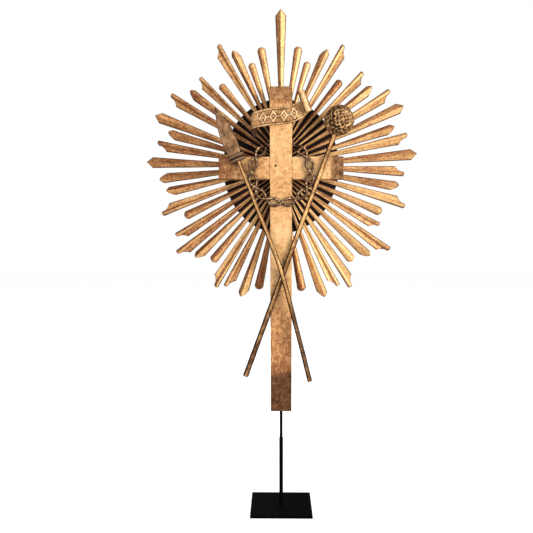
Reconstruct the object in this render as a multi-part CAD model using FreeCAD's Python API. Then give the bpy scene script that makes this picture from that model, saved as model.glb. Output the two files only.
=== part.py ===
import FreeCAD, Part
import math
import os

from FreeCAD import Matrix, Vector

# A gilded wooden altar cross with a sunburst of carved rays, on a steel display stand.
#
# Frame: millimetres, origin at the centre of the base plate's underside, +Z up.
# The cross faces -Y, and "left" and "right" are as seen from the front.

# ---------------------------------------------------------------- stand
PLATE_SIDE = 127.0
PLATE_THICK = 5.0
PLATE_EDGE_BREAK = 0.5
SLEEVE_OUTER_D = 8.0
SLEEVE_BORE_D = 6.0
SLEEVE_TOP_Z = 148.0
SLEEVE_TOP_CHAMFER = 0.6
WELD_LEG = 2.0
ROD_D = 5.9
ROD_IN_POST = 60.0
POST_BORE_D = 6.0

# ---------------------------------------------------------------- post and crossbar
POST_FOOT_Z = 206.0
POST_TOP_Z = 873.0
POST_FOOT_WIDTH = 43.0
POST_TOP_WIDTH = 46.5
POST_DEPTH = 25.0
BAR_HALF_LENGTH = 127.5
BAR_BOTTOM_Z = 685.5
BAR_TOP_Z = 732.0
BAR_SETBACK = 0.5

POST_FRONT_Y = -POST_DEPTH / 2
POST_BACK_Y = POST_DEPTH / 2
BAR_FRONT_Y = POST_FRONT_Y + BAR_SETBACK
CROSSING_Z = (BAR_BOTTOM_Z + BAR_TOP_Z) / 2

# ---------------------------------------------------------------- sunburst
SUN_Z = 716.0
RAY_BACK_Y = 33.0
BOARD_THICK = 10.0
BOARD_HALF_WIDTH = 122.0
BOARD_HALF_HEIGHT = 141.0
BOARD_EDGE_BREAK = 2.0
HUB_RADIUS = 22.0

RAY_ROOT = 30.0             # a ray starts this far from its own apex
RAY_TAPER = 0.083           # width per millimetre from the apex
RAY_EDGE_THICK = 4.5
RIDGE_RISE = 0.36           # ridge height above the edges, as a share of the width
ROUND_TAPER = 0.083
ROUND_BASE_THICK = 2.0
SKEW_RIDGE = 0.12           # where a skew ray's ridge lies, as a share of the width from the middle
SKEW_DROPS = (0.38, 0.80)   # how far its two shoulders fall back from the tip, in widths
SHOULDER_BOW = 1.7          # 1 is a straight shoulder, more is rounder
NOTCH_VALLEY = 0.03         # where a notched ray's groove lies, as a share of the width
WING_BACK = 0.95            # how far a notched ray's wing ends behind the tip, in widths
COVE_MIDDLE = (0.70, -0.19) # a point on the hollow cove: behind the tip and across, in widths
THROAT_BACK = 0.25          # where the cove meets the groove
BEAD_INNER_BACK = 0.15      # where the bead's round end starts, beside the groove
BEAD_OUTER_BACK = 0.09      # and where it ends, at the ray's edge
BEAD_MIDDLE = 0.28          # how far across the bead's foremost point lies
APEX_SPREAD = 35.0          # the apexes lie along the vertical centre line, up to this far out

TOP_RAY_REACH = 322.0

# One row for each pair of rays, from the top downwards: form of the tip, then the direction in
# degrees from straight up and the reach of the tip from the centre, on the right and on the left.
RAY_PAIRS = [
    ("round", 8.6, 250, 9.6, 250),
    ("round", 14.7, 223, 16.3, 223),
    ("skew_down", 21.5, 258, 22.2, 258),
    ("notched_up", 28.8, 280, 28.5, 282),
    ("round", 35.3, 217, 36.7, 212),
    ("notched_up", 42.7, 257, 43.8, 249),
    ("skew_up", 49.6, 249, 50.9, 245),
    ("notched_up", 56.8, 274, 58.3, 273),
    ("arrow", 64.2, 283, 68.2, 283),
    ("skew_up", 71.7, 249, 73.8, 246),
    ("notched_up", 77.6, 271, 80.4, 263),
    ("arrow", 85.1, 284, 88.2, 281),
    ("notched_down", 92.5, 258, 95.6, 256),
    ("skew_up", 100.0, 250, 102.6, 246),
    ("notched_down", 106.7, 273, 110.4, 269),
    ("round", 114.5, 233, 117.2, 229),
    ("notched_up", 122.0, 241, 124.3, 265),
    ("notched_up", 128.7, 288, 130.8, 285),
    ("skew_up", 135.7, 265, 137.0, 263),
    ("round", 142.7, 250, 143.9, 248),
    ("notched_down", 148.7, 293, 150.2, 289),
    ("notched_up", 155.5, 279, 156.1, 279),
    ("skew_up", 161.8, 290, 163.2, 287),
    ("round", 170.3, 267, 169.5, 264),
]

LEFT_FORMS = {13: "skew_down"}      # where a left ray's tip differs from its partner's

# ---------------------------------------------------------------- titulus scroll
SCROLL_THICK = 2.4
ROLL_RADIUS = 8.0
ROLL_INNER_RADIUS = 6.4
ROLL_TURNS = 0.66
ROLL_STEP_DEG = 22.5
# Stations along the ribbon from its tail: x and z of the lower edge, x and z of the upper edge, y.
RIBBON_STATIONS = [
    (-50.5, 772.0, -49.5, 795.0, -0.5),
    (-56.0, 775.0, -55.0, 806.0, -1.5),
    (-60.0, 780.0, -59.0, 813.0, -5.0),
    (-60.5, 784.0, -59.5, 818.0, -10.0),
    (-56.0, 787.0, -55.0, 821.0, -14.5),
    (-46.0, 790.0, -45.0, 824.0, -17.0),
    (-22.0, 794.0, -22.5, 829.0, -15.5),
    (0.0, 796.0, -1.0, 831.3, -13.9),
    (20.0, 799.0, 16.0, 833.5, -13.9),
    (38.0, 805.5, 29.0, 839.0, -14.5),
    (47.0, 811.5, 38.0, 842.0, -14.3),
]
ROLL_BOTTOM = (55.0, 819.5)
ROLL_TOP = (39.0, 861.0)
ROLL_AXIS_Y = -22.0

# ---------------------------------------------------------------- crown of thorns
CROWN_X = 0.4
CROWN_Z = 698.5
CROWN_HALF_WIDTH = 59.5
CROWN_HALF_HEIGHT = 61.4
CROWN_LOOP = 7.2            # how far a strand swings in and out
CROWN_WEAVE = 2.5           # how far a strand passes over or under the other
CROWN_TWISTS = 6
STRAND_D = 5.3
STRAND_STATIONS = 96
STRAND_SIDES = 6
CROWN_FRONT_Y = POST_FRONT_Y - CROWN_WEAVE - STRAND_D / 2 - 0.2
CROWN_REAR_Y = POST_BACK_Y + CROWN_WEAVE + STRAND_D / 2 + 0.2
CROWN_REAR_DEG = 27.0       # behind the post up to this angle from the top
CROWN_FRONT_DEG = 40.0      # in front of the arms from this angle on

# ---------------------------------------------------------------- lance
# The lance's line as stations (x, y, z), top to bottom, and the shaft's end diameters.
LANCE_LINE = [
    (-87.8, -20.4, 727.5),
    (-50.5, -25.2, 631.5),
    (-26.6, -27.2, 571.5),
    (-8.0, -28.7, 523.0),
    (1.8, -29.7, 492.4),
    (10.0, -30.4, 464.0),
    (26.0, -31.2, 402.0),
    (42.8, -31.9, 337.0),
    (58.7, -32.4, 273.0),
]
LANCE_TOP_D = 8.2
LANCE_END_D = 10.4
COLLAR_CENTRE = (-89.4, -19.8, 728.5)
COLLAR_TILT_DEG = -23.0     # from upright, towards the left
COLLAR_LENGTH = 16.0
COLLAR_HALF_WIDTH = 17.0
COLLAR_HALF_DEPTH = 7.3
COLLAR_WAIST = 0.86
COLLAR_RIB = 0.42           # height of each rib, as a share of the collar's length
BLADE_THICK = 6.0
TANG_LENGTH = 5.0
TANG_HALF_WIDTH = 7.0
TANG_HALF_THICK = 2.0
# Half outline of the blade from the collar: distance along it, left side, right side.
BLADE_OUTLINE = [
    (0.0, -14.6, 12.4),
    (20.0, -16.4, 14.8),
    (42.0, -15.4, 14.4),
    (56.0, -13.9, 13.4),
    (68.0, -12.0, 11.2),
    (82.0, -8.2, 6.8),
]
BLADE_TIP = (104.5, -1.6)

# ---------------------------------------------------------------- sponge on a reed
REED_TOP = (109.7, -17.6, 779.5)
REED_END = (-73.8, -20.4, 280.7)
REED_TOP_D = 9.0
REED_END_D = 12.2
REED_IN_SPONGE = 24.0
SPONGE_CENTRE = (117.2, -18.5, 803.2)
SPONGE_HALF_SIZE = (31.0, 23.0, 32.0)
SPONGE_TILT_DEG = 20.0

# ---------------------------------------------------------------- nails and screws
RAY_NAIL_FROM_APEX = 78.0
RAY_NAIL_D = 1.4
RAY_NAIL_HEAD_D = 4.0
RAY_NAIL_HEAD_THICK = 0.8
RAY_NAIL_IN_RAY = 3.2
CROSSING_NAIL_AT = (-11.0, 713.0)
CROSSING_NAIL_D = 2.2
CROSSING_NAIL_HEAD_D = 4.6
CROSSING_NAIL_TIP_Y = 18.0
HUB_SCREW_Z = (697.0, 722.0)
HUB_SCREW_D = 4.5
HUB_SCREW_HEAD_D = 9.0
HUB_SCREW_TIP_Y = -5.0
SCROLL_NAILS_AT = [(-14.0, 812.0), (16.0, 818.0)]
SCROLL_NAIL_D = 1.8
SCROLL_NAIL_HEAD_D = 3.6
SMALL_NAIL_DEPTH = 8.0


def save(shape, node):
    """Write one sub-part, after making sure that every solid in it is sound."""
    assert shape.isValid(), node
    assert all(solid.Volume > 0 for solid in shape.Solids), node
    shape.exportStep("parts/" + node + ".step")
    print("%-20s %2d solids  %10.1f mm3" % (node, len(shape.Solids), shape.Volume))


def box(x0, x1, y0, y1, z0, z1):
    return Part.makeBox(x1 - x0, y1 - y0, z1 - z0, Vector(x0, y0, z0))


def cylinder_y(diameter, y0, y1, x, z):
    """A cylinder along Y from y0 to y1."""
    return Part.makeCylinder(diameter / 2, y1 - y0, Vector(x, y0, z), Vector(0, 1, 0))


def skin(rings, closed=False):
    """Join rings of points, each with the same number of points, into one solid with flat faces."""
    def flat(*points):
        return Part.Face(Part.makePolygon(list(points) + [points[0]]))

    faces = []
    count = len(rings[0])
    last = len(rings) if closed else len(rings) - 1
    for i in range(last):
        here = rings[i]
        there = rings[(i + 1) % len(rings)]
        for j in range(count):
            k = (j + 1) % count
            faces.append(flat(here[j], here[k], there[k]))
            faces.append(flat(here[j], there[k], there[j]))
    if not closed:
        for ring in (rings[0], rings[-1]):
            if count == 4:
                faces.append(flat(ring[0], ring[1], ring[2]))
                faces.append(flat(ring[0], ring[2], ring[3]))
            else:
                faces.append(flat(*ring))
    solid = Part.Solid(Part.Shell(faces))
    if solid.Volume < 0:
        solid.reverse()
    return solid


def nail(x, z, front_y, tip_y, diameter, head_d, head_thick):
    """A nail driven from the front at (x, z), with its head's face at front_y."""
    head = cylinder_y(head_d, front_y, front_y + head_thick, x, z)
    return head.fuse(cylinder_y(diameter, front_y, tip_y, x, z))


# ---------------------------------------------------------------- stand
def make_base_plate():
    half = PLATE_SIDE / 2
    plate = box(-half, half, -half, half, 0, PLATE_THICK)
    top_edges = [e for e in plate.Edges if e.BoundBox.ZMin > PLATE_THICK - 0.01]
    return plate.makeChamfer(PLATE_EDGE_BREAK, top_edges)


def make_sleeve_tube():
    length = SLEEVE_TOP_Z - PLATE_THICK
    base = Vector(0, 0, PLATE_THICK)
    tube = Part.makeCylinder(SLEEVE_OUTER_D / 2, length, base)
    rim = [e for e in tube.Edges if e.BoundBox.ZMin > SLEEVE_TOP_Z - 0.01]
    tube = tube.makeChamfer(SLEEVE_TOP_CHAMFER, rim)
    return tube.cut(Part.makeCylinder(SLEEVE_BORE_D / 2, length, base))


def make_sleeve_weld():
    """A small fillet of weld in the corner between the sleeve and the plate."""
    inner = SLEEVE_OUTER_D / 2
    corner = Vector(inner, 0, PLATE_THICK)
    foot = Vector(inner + WELD_LEG, 0, PLATE_THICK)
    top = Vector(inner, 0, PLATE_THICK + WELD_LEG)
    section = Part.Face(Part.makePolygon([corner, foot, top, corner]))
    return section.revolve(Vector(0, 0, 0), Vector(0, 0, 1), 360)


def make_support_rod():
    length = POST_FOOT_Z + ROD_IN_POST - PLATE_THICK
    rod = Part.makeCylinder(ROD_D / 2, length, Vector(0, 0, PLATE_THICK))
    return rod.makeChamfer(0.5, [e for e in rod.Edges if e.Length < 4 * ROD_D])


# ---------------------------------------------------------------- post, crossbar and hub
def post_prism(y0, y1):
    """The tapered post between two depths."""
    foot = POST_FOOT_WIDTH / 2
    top = POST_TOP_WIDTH / 2
    corners = [(-foot, POST_FOOT_Z), (foot, POST_FOOT_Z), (top, POST_TOP_Z), (-top, POST_TOP_Z)]
    points = [Vector(x, y0, z) for x, z in corners]
    return Part.Face(Part.makePolygon(points + [points[0]])).extrude(Vector(0, y1 - y0, 0))


def make_cross_post():
    post = post_prism(POST_FRONT_Y, POST_BACK_Y)
    halving = box(-BAR_HALF_LENGTH, BAR_HALF_LENGTH, 0, POST_BACK_Y, BAR_BOTTOM_Z, BAR_TOP_Z)
    bore = Part.makeCylinder(POST_BORE_D / 2, ROD_IN_POST, Vector(0, 0, POST_FOOT_Z))
    return post.cut(halving).cut(bore)


def make_crossbar():
    bar = box(-BAR_HALF_LENGTH, BAR_HALF_LENGTH, BAR_FRONT_Y, POST_BACK_Y, BAR_BOTTOM_Z, BAR_TOP_Z)
    return bar.cut(post_prism(POST_FRONT_Y, 0))


def make_hub_block():
    return cylinder_y(2 * HUB_RADIUS, POST_BACK_Y, RAY_BACK_Y, 0, CROSSING_Z)


def make_backplate():
    """The oval board, with its front edge broken all round."""
    oval = Part.Ellipse(
        Vector(0, RAY_BACK_Y, SUN_Z + BOARD_HALF_HEIGHT),
        Vector(BOARD_HALF_WIDTH, RAY_BACK_Y, SUN_Z),
        Vector(0, RAY_BACK_Y, SUN_Z),
    )
    board = Part.Face(Part.Wire(oval.toShape())).extrude(Vector(0, BOARD_THICK, 0))
    front_edge = [e for e in board.Edges if e.BoundBox.YMax < RAY_BACK_Y + 0.01]
    return board.makeChamfer(BOARD_EDGE_BREAK, front_edge)


# ---------------------------------------------------------------- rays
# A ray is shaped lying on its back: u runs outward from its apex, v across it towards the side
# that faces the top of the cross, and w up from its back.
def ray_axis(direction_deg, reach):
    """Height of the ray's apex above the centre, its direction and the tip's distance from it."""
    angle = math.radians(direction_deg)
    apex = APEX_SPREAD * math.cos(angle) * abs(math.cos(angle))
    across = reach * math.sin(angle)
    up = reach * math.cos(angle) - apex
    return apex, math.atan2(across, up), math.hypot(across, up)


def ray_section(form, width):
    """The cross-section of a faceted ray, as (v, w) points."""
    if form == "notched":
        # a broad hollow wing, the groove, and a bead
        shape = [
            (-0.5, 0.05), (-0.25, 0.0), (NOTCH_VALLEY, -0.03),
            (0.07, 0.12), (0.16, 0.22), (0.37, 0.22), (0.46, 0.12), (0.5, 0.0),
        ]
    else:
        shape = [(-0.5, 0.0), (SKEW_RIDGE if form == "skew" else 0.0, RIDGE_RISE), (0.5, 0.0)]
    top = [(v * width, RAY_EDGE_THICK + rise * width) for v, rise in reversed(shape)]
    return [(-0.5 * width, 0.0), (0.5 * width, 0.0)] + top


def notched_outline(tip, width):
    """A hollow cove on one side of the groove and the bead's blunt round end on the other."""
    def point(back, v):
        return Vector(tip - back * width, v * width, -1)

    wing = point(WING_BACK, -0.5)
    throat = point(THROAT_BACK, NOTCH_VALLEY)
    bead_start = point(BEAD_INNER_BACK, NOTCH_VALLEY)
    bead_end = point(BEAD_OUTER_BACK, 0.5)
    corners = [
        bead_end,
        point(BEAD_OUTER_BACK, 2),
        Vector(0, 2 * width, -1),
        Vector(0, -2 * width, -1),
        point(WING_BACK, -2),
        wing,
    ]
    edges = [Part.makeLine(a, b) for a, b in zip(corners, corners[1:])]
    edges.append(Part.Arc(wing, point(*COVE_MIDDLE), throat).toShape())
    edges.append(Part.makeLine(throat, bead_start))
    edges.append(Part.Arc(bead_start, point(0.0, BEAD_MIDDLE), bead_end).toShape())
    return Part.Face(Part.Wire(edges))


def shouldered_outline(tip, width, ridge, drops, bow):
    """A tip on the ridge line with a shoulder falling back on either side of it."""
    def shoulder(side, drop):
        points = []
        for share in (0.25, 0.5, 0.75, 1.0):
            v = ridge + (side * 0.5 - ridge) * share
            points.append(Vector(tip - drop * width * share ** bow, v * width, -1))
        points.append(points[-1] + Vector(0, side * width, 0))
        return points

    up = shoulder(1, drops[0])
    down = shoulder(-1, drops[1])
    corners = up[::-1] + [Vector(tip, ridge * width, -1)] + down
    corners += [Vector(0, down[-1].y, -1), Vector(0, up[-1].y, -1)]
    return Part.Face(Part.makePolygon(corners + [corners[0]]))


def ray_outline(form, tip, width):
    """The face that trims a faceted ray's end to the form of its tip."""
    if form == "notched":
        return notched_outline(tip, width)
    if form == "skew":
        return shouldered_outline(tip, width, SKEW_RIDGE, SKEW_DROPS, SHOULDER_BOW)
    return shouldered_outline(tip, width, 0.0, (0.5, 0.5), 1.0)


def faceted_ray(form, tip):
    rings = []
    for u in (RAY_ROOT, tip + 5.0):
        rings.append([Vector(u, v, w) for v, w in ray_section(form, RAY_TAPER * u)])
    outline = ray_outline(form, tip, RAY_TAPER * tip)
    return skin(rings).common(outline.extrude(Vector(0, 0, 40)))


def round_ray(tip):
    """Half-round on a thin base, with a round end."""
    end_r = ROUND_TAPER * tip / 2
    root_r = ROUND_TAPER * RAY_ROOT / 2
    shoulder = tip - end_r
    lift = ROUND_BASE_THICK
    along = math.cos(math.radians(45)) * end_r

    def outline(half, w):
        start = Vector(RAY_ROOT, half * root_r, w)
        side = Vector(shoulder, half * end_r, w)
        bend = Vector(shoulder + along, half * along, w)
        return start, side, bend

    nose = Vector(tip, 0, lift)
    start, side, bend = outline(1, lift)
    inner = Vector(RAY_ROOT, 0, lift)
    edges = [
        Part.makeLine(inner, start),
        Part.makeLine(start, side),
        Part.Arc(side, bend, nose).toShape(),
        Part.makeLine(nose, inner),
    ]
    dome = Part.Face(Part.Wire(edges)).revolve(inner, Vector(1, 0, 0), 180)

    start_a, side_a, _ = outline(1, 0)
    start_b, side_b, _ = outline(-1, 0)
    edges = [
        Part.makeLine(start_b, start_a),
        Part.makeLine(start_a, side_a),
        Part.Arc(side_a, Vector(tip, 0, 0), side_b).toShape(),
        Part.makeLine(side_b, start_b),
    ]
    base = Part.Face(Part.Wire(edges)).extrude(Vector(0, 0, lift))
    return base.fuse(dome).removeSplitter()


def make_ray(form, direction_deg, reach, left):
    """One ray in its place, and the point on the board where its nail goes."""
    apex, angle, tip = ray_axis(direction_deg, reach)
    if form == "round":
        ray = round_ray(tip)
    else:
        ray = faceted_ray(form.split("_")[0], tip)
    if form.endswith("_down"):
        ray = ray.mirror(Vector(0, 0, 0), Vector(0, 1, 0))
    sine = math.sin(angle)
    cosine = math.cos(angle)
    place = Matrix(
        sine, -cosine, 0, 0,
        0, 0, -1, RAY_BACK_Y,
        cosine, sine, 0, SUN_Z + apex,
        0, 0, 0, 1,
    )
    ray = ray.transformGeometry(place)
    nail_x = sine * RAY_NAIL_FROM_APEX
    nail_z = SUN_Z + apex + cosine * RAY_NAIL_FROM_APEX
    if left:
        ray = ray.mirror(Vector(0, 0, 0), Vector(1, 0, 0))
        nail_x = -nail_x
    return ray, (nail_x, nail_z)


def make_ray_nail(x, z):
    """A nail driven from behind through the board into a ray, with its head let into the board."""
    back_y = RAY_BACK_Y + BOARD_THICK
    head = cylinder_y(RAY_NAIL_HEAD_D, back_y - RAY_NAIL_HEAD_THICK, back_y, x, z)
    return head.fuse(cylinder_y(RAY_NAIL_D, RAY_BACK_Y - RAY_NAIL_IN_RAY, back_y, x, z))


def make_hub_screw(z):
    """A countersunk screw from behind through board and hub into the post."""
    back_y = RAY_BACK_Y + BOARD_THICK
    sink = (HUB_SCREW_HEAD_D - HUB_SCREW_D) / 2
    shank = cylinder_y(HUB_SCREW_D, HUB_SCREW_TIP_Y, back_y, 0, z)
    head = Part.makeCone(
        HUB_SCREW_D / 2, HUB_SCREW_HEAD_D / 2, sink, Vector(0, back_y - sink, z), Vector(0, 1, 0)
    )
    return shank.fuse(head)


# ---------------------------------------------------------------- titulus scroll
def make_scroll():
    """The ribbon from its tail round to the front, and its right end rolled forward."""
    lines = []
    for low_x, low_z, high_x, high_z, y in RIBBON_STATIONS:
        lines.append((Vector(low_x, y, low_z), Vector(high_x, y, high_z)))
    bottom = Vector(ROLL_BOTTOM[0], ROLL_AXIS_Y, ROLL_BOTTOM[1])
    top = Vector(ROLL_TOP[0], ROLL_AXIS_Y, ROLL_TOP[1])
    axis = (top - bottom).normalize()
    to_back = Vector(0, 1, 0)
    to_right = to_back.cross(axis)
    steps = int(360 * ROLL_TURNS / ROLL_STEP_DEG)
    for i in range(steps + 1):
        share = i / steps
        angle = 2 * math.pi * ROLL_TURNS * share
        radius = ROLL_RADIUS + (ROLL_INNER_RADIUS - ROLL_RADIUS) * share
        offset = to_back * (radius * math.cos(angle)) + to_right * (radius * math.sin(angle))
        lines.append((bottom + offset, top + offset))

    rings = []
    for i, (low, high) in enumerate(lines):
        before = lines[max(i - 1, 0)]
        after = lines[min(i + 1, len(lines) - 1)]
        ring = []
        for end in (0, 1):
            along = after[end] - before[end]
            normal = along.cross(high - low).normalize() * (SCROLL_THICK / 2)
            centre = (low, high)[end]
            pair = [centre - normal, centre + normal]
            ring += pair if end == 0 else reversed(pair)
        rings.append(list(ring))
    return skin(rings)


# ---------------------------------------------------------------- crown of thorns
def smooth_step(x):
    x = min(max(x, 0.0), 1.0)
    return x * x * (3 - 2 * x)


def crown_centre(angle):
    """The line that the two strands twist about; angle 0 is the top, behind the post."""
    from_top = abs((math.degrees(angle) + 180) % 360 - 180)
    share = smooth_step((from_top - CROWN_REAR_DEG) / (CROWN_FRONT_DEG - CROWN_REAR_DEG))
    return Vector(
        CROWN_X + CROWN_HALF_WIDTH * math.sin(angle),
        CROWN_REAR_Y + (CROWN_FRONT_Y - CROWN_REAR_Y) * share,
        CROWN_Z + CROWN_HALF_HEIGHT * math.cos(angle),
    )


def make_crown_strand(sign):
    def strand_point(angle):
        tangent = (crown_centre(angle + 0.01) - crown_centre(angle - 0.01)).normalize()
        outward = Vector(math.sin(angle), 0, math.cos(angle))
        outward = (outward - tangent * outward.dot(tangent)).normalize()
        over = tangent.cross(outward)
        swing = sign * CROWN_LOOP * math.sin(CROWN_TWISTS * angle)
        weave = sign * CROWN_WEAVE * math.cos(CROWN_TWISTS * angle)
        return crown_centre(angle) + outward * swing + over * weave

    rings = []
    for i in range(STRAND_STATIONS):
        angle = 2 * math.pi * i / STRAND_STATIONS
        centre = strand_point(angle)
        tangent = (strand_point(angle + 0.01) - strand_point(angle - 0.01)).normalize()
        outward = Vector(math.sin(angle), 0, math.cos(angle))
        outward = (outward - tangent * outward.dot(tangent)).normalize()
        side = tangent.cross(outward)
        ring = []
        for j in range(STRAND_SIDES):
            turn = 2 * math.pi * j / STRAND_SIDES
            ring.append(centre + (outward * math.cos(turn) + side * math.sin(turn)) * (STRAND_D / 2))
        rings.append(ring)
    return skin(rings, closed=True)


# ---------------------------------------------------------------- lance
def tapered_rod(stations, first_d, last_d):
    """A round rod that thickens evenly along a bent line."""
    points = [Vector(*station) for station in stations]
    length = sum((b - a).Length for a, b in zip(points, points[1:]))
    wires = []
    travelled = 0.0
    for i, point in enumerate(points):
        if i:
            travelled += (point - points[i - 1]).Length
        along = points[min(i + 1, len(points) - 1)] - points[max(i - 1, 0)]
        radius = (first_d + (last_d - first_d) * travelled / length) / 2
        wires.append(Part.Wire(Part.makeCircle(radius, point, along)))
    return Part.makeLoft(wires, True, True)


def tilt_in_place(shape, centre, tilt_deg):
    """Turn a shape made upright at the origin towards the right by tilt_deg, and move it."""
    shape.rotate(Vector(0, 0, 0), Vector(0, 1, 0), tilt_deg)
    shape.translate(Vector(*centre))
    return shape


def oval_disc(scale, z0, z1):
    """A flat oval disc of the collar, at a share of its full width."""
    half_width = COLLAR_HALF_WIDTH * scale
    half_depth = COLLAR_HALF_DEPTH * scale
    oval = Part.Ellipse(Vector(0, 0, z0), half_width, half_depth)
    return Part.Face(Part.Wire(oval.toShape())).extrude(Vector(0, 0, z1 - z0))


def make_collar():
    """Two thick ribs with a waist between them."""
    half = COLLAR_LENGTH / 2
    rib = COLLAR_LENGTH * COLLAR_RIB
    lower = oval_disc(1.0, -half, -half + rib)
    upper = oval_disc(1.0, half - rib, half)
    ribs = []
    for disc in (lower, upper):
        ribs.append(disc.makeFillet(rib * 0.4, [e for e in disc.Edges if e.Length > 4 * rib]))
    collar = oval_disc(COLLAR_WAIST, -half + 1, half - 1).fuse(ribs)
    return tilt_in_place(collar, COLLAR_CENTRE, COLLAR_TILT_DEG)


def make_blade():
    """A leaf-shaped blade with a low ridge down its middle and a tang in the collar."""
    foot = COLLAR_LENGTH / 2
    rings = []
    tip_along, tip_x = BLADE_TIP
    for along, left, right in BLADE_OUTLINE + [(tip_along, tip_x - 0.6, tip_x + 0.6)]:
        edge = BLADE_THICK * (0.30 if along < tip_along else 0.12)
        ridge = BLADE_THICK * (0.5 if along < tip_along else 0.2)
        middle = (left + right) / 2
        z = foot + along
        rings.append([
            Vector(left, -edge, z), Vector(middle, -ridge, z), Vector(right, -edge, z),
            Vector(right, edge, z), Vector(middle, ridge, z), Vector(left, edge, z),
        ])
    tang = box(
        -TANG_HALF_WIDTH, TANG_HALF_WIDTH, -TANG_HALF_THICK, TANG_HALF_THICK,
        foot - TANG_LENGTH, foot + 1,
    )
    blade = skin(rings).fuse(tang)
    return tilt_in_place(blade, COLLAR_CENTRE, COLLAR_TILT_DEG)


# ---------------------------------------------------------------- sponge on a reed
def make_reed():
    top = Vector(*REED_TOP)
    end = Vector(*REED_END)
    along = (top - end).normalize()
    length = (top - end).Length + REED_IN_SPONGE
    return Part.makeCone(REED_END_D / 2, REED_TOP_D / 2, length, end, along)


def make_sponge():
    stretch = Matrix()
    stretch.scale(*SPONGE_HALF_SIZE)
    ball = Part.makeSphere(1.0).transformGeometry(stretch)
    return tilt_in_place(ball, SPONGE_CENTRE, SPONGE_TILT_DEG)


# ---------------------------------------------------------------- assembly
os.makedirs("parts", exist_ok=True)

post = make_cross_post()
bar = make_crossbar()
hub = make_hub_block()
board = make_backplate()
scroll = make_scroll()
collar = make_collar()
blade = make_blade()
lance_shaft = tapered_rod(LANCE_LINE, LANCE_TOP_D, LANCE_END_D)
reed = make_reed()
sponge = make_sponge()

# Rays, and one nail for each.
nail_places = []
ray_nodes = {}
top_ray, place = make_ray("arrow", 0.0, TOP_RAY_REACH, False)
ray_nodes["ray_top"] = [top_ray]
nail_places.append(place)
for number, (form, right_deg, right_reach, left_deg, left_reach) in enumerate(RAY_PAIRS, 1):
    right_ray, right_place = make_ray(form, right_deg, right_reach, False)
    left_ray, left_place = make_ray(LEFT_FORMS.get(number, form), left_deg, left_reach, True)
    ray_nodes["ray_pair_%02d" % number] = [right_ray, left_ray]
    nail_places += [right_place, left_place]

ray_nails = Part.makeCompound([make_ray_nail(x, z) for x, z in nail_places])
hub_screws = Part.makeCompound([make_hub_screw(z) for z in HUB_SCREW_Z])
crossing_nail = nail(
    CROSSING_NAIL_AT[0], CROSSING_NAIL_AT[1], POST_FRONT_Y, CROSSING_NAIL_TIP_Y,
    CROSSING_NAIL_D, CROSSING_NAIL_HEAD_D, 1.0,
)
scroll_nails = Part.makeCompound([
    nail(x, z, POST_FRONT_Y - SCROLL_THICK - 0.9, POST_FRONT_Y + SMALL_NAIL_DEPTH,
         SCROLL_NAIL_D, SCROLL_NAIL_HEAD_D, 0.8)
    for x, z in SCROLL_NAILS_AT
])

# Every hole has the size of what sits in it.
post = post.cut(hub_screws).cut(crossing_nail).cut(scroll_nails)
bar = bar.cut(hub_screws).cut(crossing_nail)
hub = hub.cut(hub_screws).cut(crossing_nail)
board = board.cut(hub_screws).cut(ray_nails)
scroll = scroll.cut(scroll_nails)
sponge = sponge.cut(reed)
collar = collar.cut(lance_shaft).cut(blade)

save(make_base_plate(), "base_plate")
save(make_sleeve_tube(), "sleeve_tube")
save(make_sleeve_weld(), "sleeve_weld")
save(make_support_rod(), "support_rod")
save(post, "cross_post")
save(bar, "crossbar")
save(crossing_nail, "crossing_nail")
save(hub, "hub_block")
save(hub_screws, "hub_screws")
save(board, "backplate")
for node, rays in ray_nodes.items():
    save(Part.makeCompound([ray.cut(ray_nails) for ray in rays]), node)
save(ray_nails, "ray_nails")
save(scroll, "titulus_scroll")
save(scroll_nails, "scroll_nails")
save(make_crown_strand(1), "crown_strand_outer")
save(make_crown_strand(-1), "crown_strand_inner")
save(blade, "lance_blade")
save(collar, "lance_collar")
save(lance_shaft, "lance_shaft")
save(reed, "reed_shaft")
save(sponge, "sponge")
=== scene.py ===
import math

import bmesh
import bpy
import numpy as np
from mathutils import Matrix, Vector, noise


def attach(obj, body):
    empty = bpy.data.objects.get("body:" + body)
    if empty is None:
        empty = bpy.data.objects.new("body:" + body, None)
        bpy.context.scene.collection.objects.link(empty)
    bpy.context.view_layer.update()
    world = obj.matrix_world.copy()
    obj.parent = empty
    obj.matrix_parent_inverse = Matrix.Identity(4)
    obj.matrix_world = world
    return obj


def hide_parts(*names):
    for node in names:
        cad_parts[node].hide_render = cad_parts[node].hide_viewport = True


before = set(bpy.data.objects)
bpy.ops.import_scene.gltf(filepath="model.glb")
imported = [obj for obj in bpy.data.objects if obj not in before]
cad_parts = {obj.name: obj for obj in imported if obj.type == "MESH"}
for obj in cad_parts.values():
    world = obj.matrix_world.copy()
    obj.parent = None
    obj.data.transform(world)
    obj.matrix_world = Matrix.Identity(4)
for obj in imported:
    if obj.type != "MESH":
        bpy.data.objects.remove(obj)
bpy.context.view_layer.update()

# A gilded wooden altar cross with a sunburst of carved rays, on a steel display stand.
# Shapes are worked out in millimetres in the model's frame (+Z up, front towards -Y), and
# turned into metres when their meshes are made.
MM = 0.001

# ---------------------------------------------------------------- dimensions shared with the CAD source
POST_FOOT_Z, POST_TOP_Z = 206.0, 873.0
POST_FOOT_WIDTH, POST_TOP_WIDTH = 43.0, 46.5
POST_FRONT_Y, POST_BACK_Y = -12.5, 12.5
POST_HALF_DEPTH = (POST_BACK_Y - POST_FRONT_Y) / 2
BAR_HALF_LENGTH = 127.5
BAR_BOTTOM_Z, BAR_TOP_Z = 685.5, 732.0
BAR_FRONT_Y = -12.0
CROSSING_Z = (BAR_BOTTOM_Z + BAR_TOP_Z) / 2

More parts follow.
